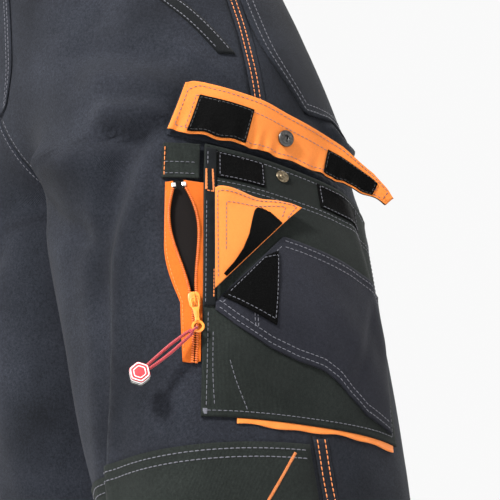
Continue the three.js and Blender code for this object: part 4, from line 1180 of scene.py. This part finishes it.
PH_W, PH_H = 60, 50
rim = lambda U, V: 0.5 * near(margin(U, PH_W), 2.0) + 0.5 * near((1 - V) * PH_H, 2.0)
soft_phone = [two_sided("phone_flap_cloth", phone_flap_at, 60, 50, -PH_T / 2,
                        lambda U, V: PH_T / 2 - 0.3 + rim(U, V) * 0.6,
          [ORANGE_M, NAVY_M, NAVY_M], "phone_flap_body", ["phone_flap"])]


def grid_rows(at, path, h):
    path = np.asarray(path, float)
    arc = arc_length(path)
    d = np.linspace(0, arc[-1], 120)
    return row_on(at, np.interp(d, arc, path[:, 0]), np.interp(d, arc, path[:, 1]), np.full(120, h),
                  np.full(120, h + 2.0))


soft_phone.append(stitches("phone_flap_stitches", [
    grid_rows(phone_flap_at, [(0.04, 0.08), (0.04, 0.95), (0.96, 0.95), (0.96, 0.1)], PH_T / 2 + 0.05),
    grid_rows(phone_flap_at, [(0.15, 0.3), (0.16, 0.83), (0.87, 0.83), (0.87, 0.4)], PH_T / 2 - 0.12)],
    PURPLE_T, "phone_flap_body", 2.5, 0.9, 0.3))


def hook_field(name, at, w, hgt, body, nodes):
    """Hook tape: a thin strip with rows of stubby hooks."""
    base = shell(name, at, 30, 20, 0.25, lambda U, V: 1.0 + 0.12 * RNG.random(U.shape), HOOK_M, body, nodes)
    blocks = []
    pitch = 1.1
    nu, nv = int(w / pitch), int(hgt / pitch)
    for i in range(nu):
        for j in range(nv):
            u, v = (i + 0.5 + 0.25 * (j % 2)) / (nu + 0.3), (j + 0.5) / nv
            us = np.array([u, u, u + 0.3 / w, u + 0.55 / w])
            vs = np.array([v, v, v, v])
            pts = at(us, vs, np.array([0.95, 1.35, 1.55, 1.35]))
            blocks.append(tube_data(pts, 0.11, 4, True))
    return [base, new_object(name + "_hooks", *merge(blocks), HOOK_M, body)]


def phone_hook_at(u, v, h):
    along = lerp(13, 75, u)
    low = np.stack([fd[0] + along, np.full_like(u, 0.9)], -1)
    rise = np.interp(along, [13, 26, 38, 50, 60, 68, 72, 75], [3.6, 4.6, 7.0, 11.6, 17.5, 21.6, 21.0, 12.0])
    top = np.stack([fd[0] + along - 0.5 * v, rise], -1)
    xy = low + (top - low) * v[..., None]
    lift = ph_bend(np.clip((xy[..., 0] - fd[0]) / (fc[0] - fd[0]), 0, 1), np.clip(xy[..., 1] / 48, 0, 1))
    return place(PHF, xy[..., 0], xy[..., 1], h + PH_T / 2 + lift - 0.1)


soft_phone += hook_field("phone_hook_patch_strip", phone_hook_at, 62, 18, "phone_flap_body",
                         ["phone_hook_patch"])
for o in soft_phone:
    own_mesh(o)


# ------------------------------------------------------------------ side zip
COIL_PITCH, CORE_R = 1.62, 0.62


def zip_row(sgn, name, node):
    """Coil teeth: a bar across for every turn and a cord of thread inside, the cord coloured darker red than
    the teeth as painted shade between the turns.
    """
    xs = np.concatenate([np.linspace(-ZIP_BELOW, -1, 40), np.linspace(-0.6, ZIP_LEN - 2, 110)])
    mid = place(ZIP, xs, ROW_SHIFT * closed(xs) + sgn * (leaf(xs) + TOOTH_W / 2), -ZIP_SINK * closed(xs))
    arc = arc_length(mid)
    blocks = [tube_data(mid, CORE_R, 8)]
    n = int(arc[-1] / COIL_PITCH)
    for k in range(n):
        d = (k + (0.5 if sgn > 0 else 0.0)) * arc[-1] / n
        x = float(np.interp(d, arc, xs))
        y = float(ROW_SHIFT * closed(np.array(x)) + sgn * (leaf(np.array(x)) + TOOTH_W / 2))
        z = float(-ZIP_SINK * closed(np.array(x)))
        a = np.linspace(-1, 1, 7)
        px, py = x + 0.34 * a, y + a * 0.98
        pz = z + 0.72 * np.sqrt(np.clip(1 - (a * 0.93) ** 2, 0, 1)) - 0.05
        blocks.append(tube_data(place(ZIP, px, py, pz), [0.3, 0.42, 0.44, 0.44, 0.44, 0.42, 0.3], 6))
        blocks.append(tube_data(place(ZIP, px[::2], py[::2], 2 * z - pz[::2]), 0.38, 5))
    v, f = merge(blocks)
    # The core cord gets the darker red material: painted shade between the teeth.
    inside = len(blocks[0][1])
    new_object(name, v, f, [COIL, COIL_CORE_PAINTED_SHADE], "garment", [node], None,
               [1] * inside + [0] * (len(f) - inside))


zip_row(1, "zip_coil_front", "zip_teeth_front")
zip_row(-1, "zip_coil_rear", "zip_teeth_rear")


# The tape and the opening spread to their full width over this length of the zip.
SPREAD_OVER = 45


def tape_front(x, q):
    spread = np.sin(np.clip(x / SPREAD_OVER, 0, 1) * math.pi / 2)
    out = np.where(x < 0, lerp(15, 13, closed(x)), 15 + 11.5 * spread)
    return on_leg0(-out, q, GAP + TAPE_T / 2)


def tape_rear(p0, p1, x, q):
    drop, slip = np.clip((q - 58) / 7, 0, 1), np.clip((q - 65) / 7, 0, 1)
    seat = stand(0, q) - GAP - 0.1 - TAPE_T / 2
    return on_leg0(lerp(p0, p1, slip), q, lerp(ZIP_LIFT - ZIP_SINK * closed(x), seat, drop))


def tape_at(sgn):
    def at(u, v, h):
        x = lerp(-ZIP_BELOW, ZIP_LEN + 3.5, v)
        q = lerp(ZIP_REST[1], ZIP_TOP[1], x / ZIP_LEN)
        inner = place(ZIP, x, ROW_SHIFT * closed(x) + sgn * (leaf(x) + TOOTH_W * 0.55),
                      -ZIP_SINK * closed(x))
        outer = tape_front(x, q) if sgn > 0 else tape_rear(-0.8, 2.2, x, q)
        knee = (inner + outer) / 2 if sgn > 0 else tape_rear(-1.5, -0.7, x, q)
        w = u[..., None]
        pos = np.where(w < 0.5, inner + (knee - inner) * 2 * w, knee + (outer - knee) * (2 * w - 1))
        ripple = 0.25 * np.sin(x / 3.1) * np.sin(math.pi * u)
        return pos + (h + ripple)[..., None] * ZIP[1][2]
    return at


shell("zip_tape_front_cloth", tape_at(1), 22, 110, -0.38, lambda U, V: 0.3 + 0.12 * np.abs(np.sin(U * 22)),
      TAPE_M, "garment", ["zip_tape_front"])
shell("zip_tape_rear_cloth", tape_at(-1), 14, 110, -0.38, lambda U, V: 0.3 + 0.12 * np.abs(np.sin(U * 14)),
      TAPE_M, "garment", ["zip_tape_rear"])
tape_line = tape_at(1)(np.full(90, 0.82), np.linspace(0.05, 0.97, 90), np.full(90, 0.45))
stitches("zip_tape_stitches", [(tape_line, np.tile(ZIP[1][2], (90, 1)))], ORANGE_T, "garment", 2.4, 0.8,
         0.28)


# Dark pocketing cloth seen through the open zip.
def lining_at(u, v, h):
    q = lerp(88, 176, v)
    x = (q - ZIP_REST[1]) / (ZIP_TOP[1] - ZIP_REST[1]) * ZIP_LEN
    return on_leg0(lerp(-12 - 11 * np.sin(np.clip(x / SPREAD_OVER, 0, 1) * math.pi / 2), -1.5, u), q, h)


shell("zip_opening_lining", lining_at, 10, 40, 0.1,
      lambda U, V: 0.75 + 0.3 * np.sin(V * 18 + U * 4), LINING_M, "garment")


# ------------------------------------------------------------------ hard pieces
def slab_data(fr, outline, z0, z1, b):
    """Solid slab with rounded edges on a flat outline."""
    o = np.asarray(outline, float)
    nxt, prv = np.roll(o, -1, 0), np.roll(o, 1, 0)
    t = nxt - prv
    n = np.stack([t[:, 1], -t[:, 0]], -1)
    n /= np.linalg.norm(n, axis=1, keepdims=True) + 1e-9
    area = 0.5 * np.sum(o[:, 0] * nxt[:, 1] - nxt[:, 0] * o[:, 1])
    if area < 0:
        n = -n
    rings = [(z0, b), (z0 + 0.3 * b, 0.3 * b), (z0 + b, 0), (z1 - b, 0), (z1 - 0.3 * b, 0.3 * b), (z1, b)]
    verts = np.concatenate([place(fr, *(o - n * i).T, z) for z, i in rings])
    k, faces = len(o), []
    for r in range(len(rings) - 1):
        for i in range(k):
            j = (i + 1) % k
            q = (r * k + i, r * k + j, (r + 1) * k + j, (r + 1) * k + i)
            faces.append(q if area > 0 else tuple(reversed(q)))
    low, top = tuple(range(k)), tuple((len(rings) - 1) * k + i for i in range(k))
    faces.append(tuple(reversed(low)) if area > 0 else low)
    faces.append(top if area > 0 else tuple(reversed(top)))
    return verts, faces


def rounded(points, r=1.0, n=5):
    """Closed 2-D outline with its corners rounded."""
    p = np.asarray(points, float)
    out = []
    for i in range(len(p)):
        a, c, b = p[i - 1], p[i], p[(i + 1) % len(p)]
        da, db = np.linalg.norm(a - c), np.linalg.norm(b - c)
        ra = min(r, da / 2.2, db / 2.2)
        s, e = c + (a - c) / da * ra, c + (b - c) / db * ra
        for t in np.linspace(0, 1, n):
            out.append((1 - t) ** 2 * s + 2 * t * (1 - t) * c + t * t * e)
    return np.array(out)


def lathe_data(fr, profile, n=48, ring=False):
    """Profile turned round the frame's z, with flat ends or closed into a ring."""
    prof = np.asarray(profile, float)
    th = np.linspace(0, ROUND, n, endpoint=False)
    verts = np.concatenate([place(fr, r * np.cos(th), r * np.sin(th), z) for r, z in prof])
    k, faces = len(prof), []
    for i in range(k if ring else k - 1):
        ii = (i + 1) % k
        for j in range(n):
            jj = (j + 1) % n
            faces.append((i * n + j, i * n + jj, ii * n + jj, ii * n + j))
    if not ring:
        faces.append(tuple(reversed(range(n))))
        faces.append(tuple((k - 1) * n + j for j in range(n)))
    return verts, faces


SHARP = math.radians(40)


def hard(name, blocks, mat, body, nodes=()):
    o = new_object(name, *merge(blocks), mat, body, nodes)
    bm = bmesh.new()
    bm.from_mesh(o.data)
    bmesh.ops.recalc_face_normals(bm, faces=bm.faces)
    bm.to_mesh(o.data)
    bm.free()
    o.data.update()
    o.data.set_sharp_from_angle(angle=SHARP)
    return o


for sgn, side in ((1, "front"), (-1, "rear")):
    y = sgn * (float(leaf(np.array(ZIP_LEN))) + TOOTH_W / 2)
    corners = [(ZIP_LEN - 1.6, y - 1.5), (ZIP_LEN + 1.6, y - 1.5), (ZIP_LEN + 1.6, y + 1.5),
               (ZIP_LEN - 1.6, y + 1.5)]
    bar = place(ZIP, np.full(5, ZIP_LEN), y + np.linspace(-1.1, 1.1, 5), np.array([1.3, 1.5, 1.55, 1.5, 1.3]))
    hard(f"zip_stop_{side}_metal",
         [slab_data(ZIP, rounded(corners, 0.7), -1.4, 1.4, 0.35), tube_data(bar, 0.35, 6)],
         STOP, "garment", [f"zip_stop_{side}"])

PLATE_GAP, PLATE_T = TOOTH_T / 2 + GAP, 1.1
PIN_Z = PLATE_GAP + PLATE_T + 2.2
body_outline = [(-5.5, -3.6), (2, -4.4), (5.5, -3.4), (6.2, 0), (5.5, 3.4), (2, 4.4), (-5.5, 3.6)]
narrow = [(x, 0.72 * y) for x, y in body_outline]
t = np.linspace(0, math.pi, 17)
arch = place(ZIP, 4.0 * np.cos(t) * -1, 0 * t, PLATE_GAP + PLATE_T - 0.3
             + (PIN_Z + 1.7 - PLATE_GAP - PLATE_T) * np.sin(t) ** 0.55)
hard("zip_slider_body", [
    slab_data(ZIP, rounded(body_outline, 1.6), PLATE_GAP, PLATE_GAP + PLATE_T, 0.35),
    slab_data(ZIP, rounded(narrow, 1.2), -PLATE_GAP - PLATE_T, -PLATE_GAP, 0.3),
    slab_data(ZIP, rounded([(4.6, -0.7), (6, -0.7), (6, 0.7), (4.6, 0.7)], 0.3), -PLATE_GAP - 0.2,
              PLATE_GAP + 0.2, 0.1),
    tube_data(arch, 1.05, 10, True, 0.6, np.tile(ZIP[1][1], (17, 1)))], PAINT, "slider_body",
    ["zip_slider"])

EYE_X, EYE_R, EYE_HOLE = -21, 4.5, 2.5
frame_loop = rounded([(-7.2, -2.5), (0.1, -2.5), (0.1, 2.5), (-7.2, 2.5)], 1.4, 7)
frame_loop = np.concatenate([frame_loop, frame_loop[:1]])
loop_pts = place(ZIP, frame_loop[:, 0], frame_loop[:, 1], PIN_Z)
stem = [(-18.2, -1.9), (-15, -1.5), (-9, -2.1), (-7.0, -2.7), (-6.6, 0), (-7.0, 2.7), (-9, 2.1), (-15, 1.5),
        (-18.2, 1.9)]
eye_fr = (place(ZIP, EYE_X, 0, PIN_Z), ZIP[1])
eye_prof = [(EYE_HOLE + 0.05, -0.2), (EYE_HOLE + 0.35, -0.6), (EYE_R - 0.4, -0.6), (EYE_R, -0.2),
            (EYE_R, 0.2), (EYE_R - 0.4, 0.6),
            (EYE_HOLE + 0.35, 0.6), (EYE_HOLE + 0.05, 0.2)]
hard("zip_puller_plate", [
    tube_data(loop_pts, 0.62, 10, False),
    slab_data(ZIP, rounded(stem, 0.7), PIN_Z - 0.6, PIN_Z + 0.6, 0.25),
    lathe_data(eye_fr, eye_prof, 48, True),
    slab_data(ZIP, rounded([(-14.5, -0.55), (-9.5, -0.8), (-9.5, 0.8), (-14.5, 0.55)], 0.4),
              PIN_Z + 0.5, PIN_Z + 0.85, 0.12)],
    PAINT, "puller_body", ["zip_puller"])

# ------------------------------------------------------------------ pull cord and charm
CORD_DIR, CORD_L, CORD_R, HITCH_OUT, CHARM_R = (-0.57, 0.82), 38, 1.1, 3.6, 8
band = (EYE_R + EYE_HOLE) / 2
hitch_at = place(ZIP, EYE_X + CORD_DIR[0] * band, CORD_DIR[1] * band, PIN_Z)
cord_dir = unit(ZIP[1][0] * CORD_DIR[0] + ZIP[1][1] * CORD_DIR[1])
across = unit(np.cross(ZIP[1][2], cord_dir))
charm_at = hitch_at + cord_dir * (HITCH_OUT + CORD_L + GAP + CHARM_R - 1) + ZIP[1][2] * 0.4


def braid_tube(pts, r, sides=14):
    """Tube whose surface carries the diamonds of a braid."""
    pts = resample(pts, 0.22)
    turn = 2.4 * arc_length(pts)
    swell = lambda an: r * (0.93 + 0.075 * np.abs(np.sin(turn + 2 * an)) + 0.04
                            * np.abs(np.sin(turn - 2 * an)))
    return tube_data(pts, swell, sides, True, 1.0, np.tile(ZIP[1][2], (len(pts), 1)))


th = np.linspace(0, ROUND, 60)
hitch_loop = hitch_at + 2.4 * (np.cos(th)[:, None] * cord_dir + np.sin(th)[:, None]
                               * ZIP[1][2]) + 0.5 * np.sin(th)[:, None] * across
knot = []
for k in range(2):
    c = hitch_at + cord_dir * (2.6 + 0.9 * k)
    knot.append(braid_tube(c + 1.55 * np.cos(th)[:, None] * across + 1.15 * np.sin(th)[:, None] * ZIP[1][2]
                           + 0.3 * np.cos(th)[:, None] * cord_dir, 0.75, 10))
new_object("pull_cord_hitch", *merge([braid_tube(hitch_loop, 0.9, 12)] + knot), CORD_M, "pull_cord_body",
           ["cord_hitch"])

STRANDS = {}
for sgn, side in ((1, "upper"), (-1, "lower")):
    t = np.linspace(0, 1, 25)
    pts = (hitch_at + cord_dir * (HITCH_OUT + CORD_L * t)[:, None] + across
           * (sgn * (1.35 + 0.9 * np.sin(math.pi * t)))[:, None]
           + ZIP[1][2] * (0.4 * np.sin(ROUND * t))[:, None])
    v, f = braid_tube(pts, CORD_R)
    STRANDS[side] = (new_object(f"pull_cord_{side}", v, f, CORD_M, "pull_cord_body",
                                [f"cord_strand_{side}"]), pts)

CHARM = basis(charm_at, cord_dir, ZIP[1][2])
hexagon = lambda r: [(r * math.cos(ROUND * k / 6), r * math.sin(ROUND * k / 6)) for k in range(6)]
layers = [
    (-4.6, -2.6, CHARM_R, RUBBER_BLACK, "base"),
    (-2.5, -1.3, CHARM_R - 0.25, RUBBER_WHITE, "white_low"),
    (-1.25, -0.1, CHARM_R - 0.05, RUBBER_BLACK, "dark_stripe"),
    (-0.05, 1.9, CHARM_R - 0.25, RUBBER_WHITE, "white_top"),
    (1.95, 3.5, CHARM_R - 0.35, RUBBER_RED, "face")]
for k, (z0, z1, r, mat, what) in enumerate(layers):
    hard(
        f"pull_charm_{what}", [slab_data(CHARM, rounded(hexagon(r), 1.5, 6), z0, z1, 0.28)],
        mat, "pull_cord_body", ["pull_charm"] if k == 0 else [])
rim_out, rim_in = rounded(hexagon(CHARM_R - 1.3), 1.2, 6), rounded(hexagon(CHARM_R - 3.6), 1.0, 6)
ring_pts = np.concatenate([rim_out, rim_out[:1]])
in_pts = np.concatenate([rim_in, rim_in[:1]])
hard("pull_charm_rims", [
    tube_data(place(CHARM, ring_pts[:, 0], ring_pts[:, 1], 3.5), 0.42, 8, False),
    tube_data(place(CHARM, in_pts[:, 0], in_pts[:, 1], 3.5), 0.34, 8, False)],
    RUBBER_WHITE, "pull_cord_body")

# ------------------------------------------------------------------ snap fastener
stud_pq = (58, float(mouth(58)) - 10)
STUD = basis(on_face0(*stud_pq, GAP), np.array([0, 1.0, 0]), face_normal(*stud_pq))
hard("snap_stud_metal", [lathe_data(STUD, [(4.6, -0.1), (4.9, 0.1), (5.0, 0.45), (4.7, 0.85), (4.2, 0.95),
                                           (3.6, 0.8), (3.0, 0.75),
     (2.3, 0.85), (1.85, 1.1), (1.65, 1.6), (1.75, 2.1), (1.9, 2.35), (1.75, 2.62), (1.2, 2.78), (0.6, 2.74),
     (0.3, 2.6), (0.05, 2.58)], 56)],
     BRASS, "garment", ["snap_stud"])

# ------------------------------------------------------------------ cargo flap
FLAP_L, FLAP_D, FLAP_T, FLAP_LIFT, SNAP_Q, CREASE_TOP = 176, 36, 2.4, 7.8, 15, 211
FLAP_OPEN = math.radians(14)
crease_q = lambda p: CREASE_TOP - TOP_FALL * p
crease_mid = (50, crease_q(50))
ca = on_leg0(crease_mid[0] - 6, crease_mid[1] + 0.72, FLAP_LIFT)
cb = on_leg0(crease_mid[0] + 6, crease_mid[1] - 0.72, FLAP_LIFT)
crease_at, crease_dir = (ca + cb) / 2, unit(cb - ca)
crease_out = unit(on_leg0(*crease_mid, 10) - on_leg0(*crease_mid, 0))
crease_up = unit(np.cross(crease_out, crease_dir))
open_up = unit(crease_up * math.cos(FLAP_OPEN) * np.sign(crease_up[2]) + crease_out * math.sin(FLAP_OPEN))
open_out = unit(np.cross(crease_dir, open_up))
FLAP = basis(crease_at, crease_dir, open_out)
F_SIDE = 1.0 if np.dot(FLAP[1][1], open_up) > 0 else -1.0

# The crease follows the leg as far as the last sewn point, then runs on straight.
P0, P_FREE, P1 = -28.0, 92.0, 148.0


def to_flap(w):
    d = w - FLAP[0]
    return np.stack([d @ FLAP[1][0], F_SIDE * (d @ FLAP[1][1]), d @ FLAP[1][2]], -1)


pp = np.linspace(P0, P_FREE, 60)
lift_p = lerp(3.2, FLAP_LIFT, ss(pp, P0, 40))
base_pts = to_flap(on_leg0(pp, crease_q(pp), lift_p))
base_pts[:, 2] *= 0.86
last = unit(base_pts[-1] - base_pts[-4])
run = np.linspace(0, P1 - P_FREE, 30)[1:]
free = base_pts[-1] + run[:, None] * last + np.stack([0 * run, -0.0016 * run ** 2, 0.004 * run ** 2], -1)
base_pts = np.concatenate([base_pts, free])
base_u = np.concatenate([(pp - P0) / (P1 - P0), (P_FREE - P0 + run) / (P1 - P0)])


def flap_at(u, v, h):
    """Point of the open flap: u along the crease, v from crease to free edge, h out of the lining."""
    u, v, h = np.broadcast_arrays(np.asarray(u, float), np.asarray(v, float), np.asarray(h, float))
    b = np.stack([np.interp(u, base_u, base_pts[:, c]) for c in range(3)], -1)
    height = np.interp(u, [0, 0.08, 0.5, 0.75, 0.9, 1.0], [41, 41, 33, 28, 21, 9])
    # Nearly square front corner and a narrow tip.
    height = height - 2.5 * near(u, 0.022) - 3 * near(1 - u, 0.02)
    curl = ss(u, 0.62, 1.0)
    y = height * v * (1 - 0.34 * curl * v)
    z = 1.6 * np.sin(math.pi * v) * np.sin(u * 7 + 0.5) + 5.5 * curl * v ** 1.6
    pucker = near(v, 0.35)
    z = z + 0.75 * pucker * np.sin(u * 88 + 2 * np.sin(u * 17)) + 0.5 * np.sin(u * 31 + v * 3) * v
    y = y + 0.7 * pucker * np.sin(u * 47 + 1.1) - 0.8 * v * np.sin(u * 12 + 0.7)
    x = b[..., 0] + 5 * v * near(u, 0.3) + 1.5 * v * curl
    return place(FLAP, x, F_SIDE * (b[..., 1] + y), b[..., 2] + z + h)


def thick(U, V):
    return 0.45 * near((1 - V) * FLAP_D, 2.0) + 0.45 * near(margin(U, FLAP_L), 2.0)


soft_flap = [two_sided("cargo_flap_cloth", flap_at, 150, 40, lambda U, V: -1.1 - 0.5 * thick(U, V),
                       lambda U, V: 0.95 + thick(U, V),
                       [ORANGE_M, CHARCOAL, CHARCOAL], "cargo_flap_body", ["cargo_flap"])]
edge_path = lambda d: [(0.012 + d / FLAP_L, 0.1), (0.012 + d / FLAP_L, 0.86 - d / 42),
                       (0.06, 0.965 - d / 38), (0.5, 0.97 - d / 33), (0.86, 0.96 - d / 28),
                       (0.985 - d / FLAP_L, 0.9 - d / 24), (0.985 - d / FLAP_L, 0.12)]


def dense_path(path, n=260):
    p = np.asarray(path, float)
    w = arc_length(p * (FLAP_L, FLAP_D))
    d = np.linspace(0, w[-1], n)
    return np.interp(d, w, p[:, 0]), np.interp(d, w, p[:, 1])


def flap_row(path, h, at=flap_at, n=260):
    return row_on(at, *dense_path(path, n), np.full(n, h), np.full(n, h + 2.0))


def back_row(path, h):
    p, n = flap_row(path, h)
    return p, -n


soft_flap.append(stitches(
    "cargo_flap_stitches",
    [flap_row(edge_path(1.6), 1.15), flap_row(edge_path(9), 0.98), flap_row([(0.02, 0.1), (0.98, 0.1)], 1.0)],
    PURPLE_T, "cargo_flap_body", 2.6, 1.0, 0.3))
soft_flap.append(stitches(
    "cargo_flap_back_stitches", [back_row(edge_path(1.6), -1.35), back_row(edge_path(9), -1.15)],
    GREY_T, "cargo_flap_body", 2.6, 1.0, 0.3))


def flap_patch(u0, u1, v0, v1):
    def at(u, v, h):
        return flap_at(lerp(u0, u1, u), lerp(v0, v1, v), h + 0.95)
    return at


for name, node, spot in (("hook_patch_front_strip", "hook_patch_front", (0.075, 0.318, 0.05, 0.75)),
                         ("hook_patch_rear_strip", "hook_patch_rear", (0.69, 0.93, 0.05, 0.70))):
    at = flap_patch(*spot)
    soft_flap += hook_field(name, at, (spot[1] - spot[0]) * FLAP_L, (spot[3] - spot[2]) * FLAP_D,
                            "cargo_flap_body", [node])
    soft_flap.append(stitches(
        name + "_stitches",
        [flap_row([(0.03, 0.06), (0.97, 0.06), (0.97, 0.94), (0.03, 0.94), (0.03, 0.06)], 1.15, at, 120)],
        DARK_T, "cargo_flap_body", 2.4, 0.9, 0.3))
for o in soft_flap:
    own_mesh(o)

SOCKET = basis(place(FLAP, 8, F_SIDE * SNAP_Q, FLAP_T / 2 + GAP - 0.25), crease_dir, open_out)
ring_prof = [(2.35, -0.6), (5.4, -0.8), (6.1, -0.3), (6.25, 0.35), (6.0, 0.95), (5.4, 1.35), (4.7, 1.5),
             (4.0, 1.42), (3.6, 1.12), (3.2, 1.05),
             (2.9, 1.2), (2.55, 1.2), (2.35, 0.9)]
SPRING = [tube_data(place(SOCKET, np.array([s * 1.75] * 7), np.linspace(-2.6, 2.6, 7), np.full(7, 0.75)),
                    0.28, 6) for s in (-1, 1)]
floor_ring = [(2.4 * math.cos(a), 2.4 * math.sin(a)) for a in np.linspace(0, ROUND, 24, endpoint=False)]
floor_disc = slab_data(SOCKET, floor_ring, -0.7, -0.35, 0.1)
hard("snap_socket_metal", [lathe_data(SOCKET, ring_prof, 56, True), floor_disc] + SPRING, GUN,
     "cargo_flap_body", ["snap_socket"])

# Welt: the sewn strip that the flap hangs from, rising to the crease.
def welt_strip(u, v, h):
    p = lerp(-27, 130, u)
    return on_leg(p, crease_q(p) + lerp(-2.4, 4.4, v), h)


welt_top = lambda U, V: GAP + 0.9 + (lerp(3.2, FLAP_LIFT, ss(lerp(-27, 130, U), P0, 40))
                                     - 3.2) * near(U - 0.45,
                                                   1 / 3) * np.sin(math.pi * np.clip(V, 0.05, 0.95)) ** 0.7
shell("flap_welt_cloth", welt_strip, 120, 14, GAP * 0.5,
      lambda U, V: welt_top(U, V) + 0.25 * np.sin(U * 120), CHARCOAL, "garment", ["flap_welt"])


# ------------------------------------------------------------------ declarations
DECL = []
for side in ("left", "right"):
    for name, size, held in (("front_panel_cloth", (0.30, 1.01), "hung"),
                             ("back_panel_cloth", (0.32, 1.01), "hung"),
                             ("front_pocket_bag_cloth", (0.11, 0.185), "hung"),
                             ("back_pocket_cloth", (0.12, 0.134), "hung"),
                             ("knee_patch_cloth", (0.27, 0.29), "hung"),
                             ("hem_band_cloth", (0.51, 0.027), "folded"),
                             ("front_pocket_welt_cloth", (0.18, 0.014), "folded")):
        DECL.append((f"{name}_{side}", size, held))
DECL += [("waistband_cloth", (0.84, 0.04), "folded"), ("cargo_pocket_cloth", (0.17, 0.21), "hung"),
         ("phone_pocket_cloth", (0.145, 0.092), "hung"), ("tab_panel_cloth", (0.028, 0.029), "hung"),
         ("fly_placket_cloth", (0.036, 0.13), "folded"), ("phone_flap_cloth", (0.062, 0.05), "folded"),
         ("cargo_flap_cloth", (0.178, 0.038), "folded"),
         ("zip_tape_front_cloth", (0.010, 0.14), "hung"),
         ("zip_opening_lining", (0.020, 0.088), "hung")]
for side in ("upper", "lower"):
    o, pts = STRANDS[side]
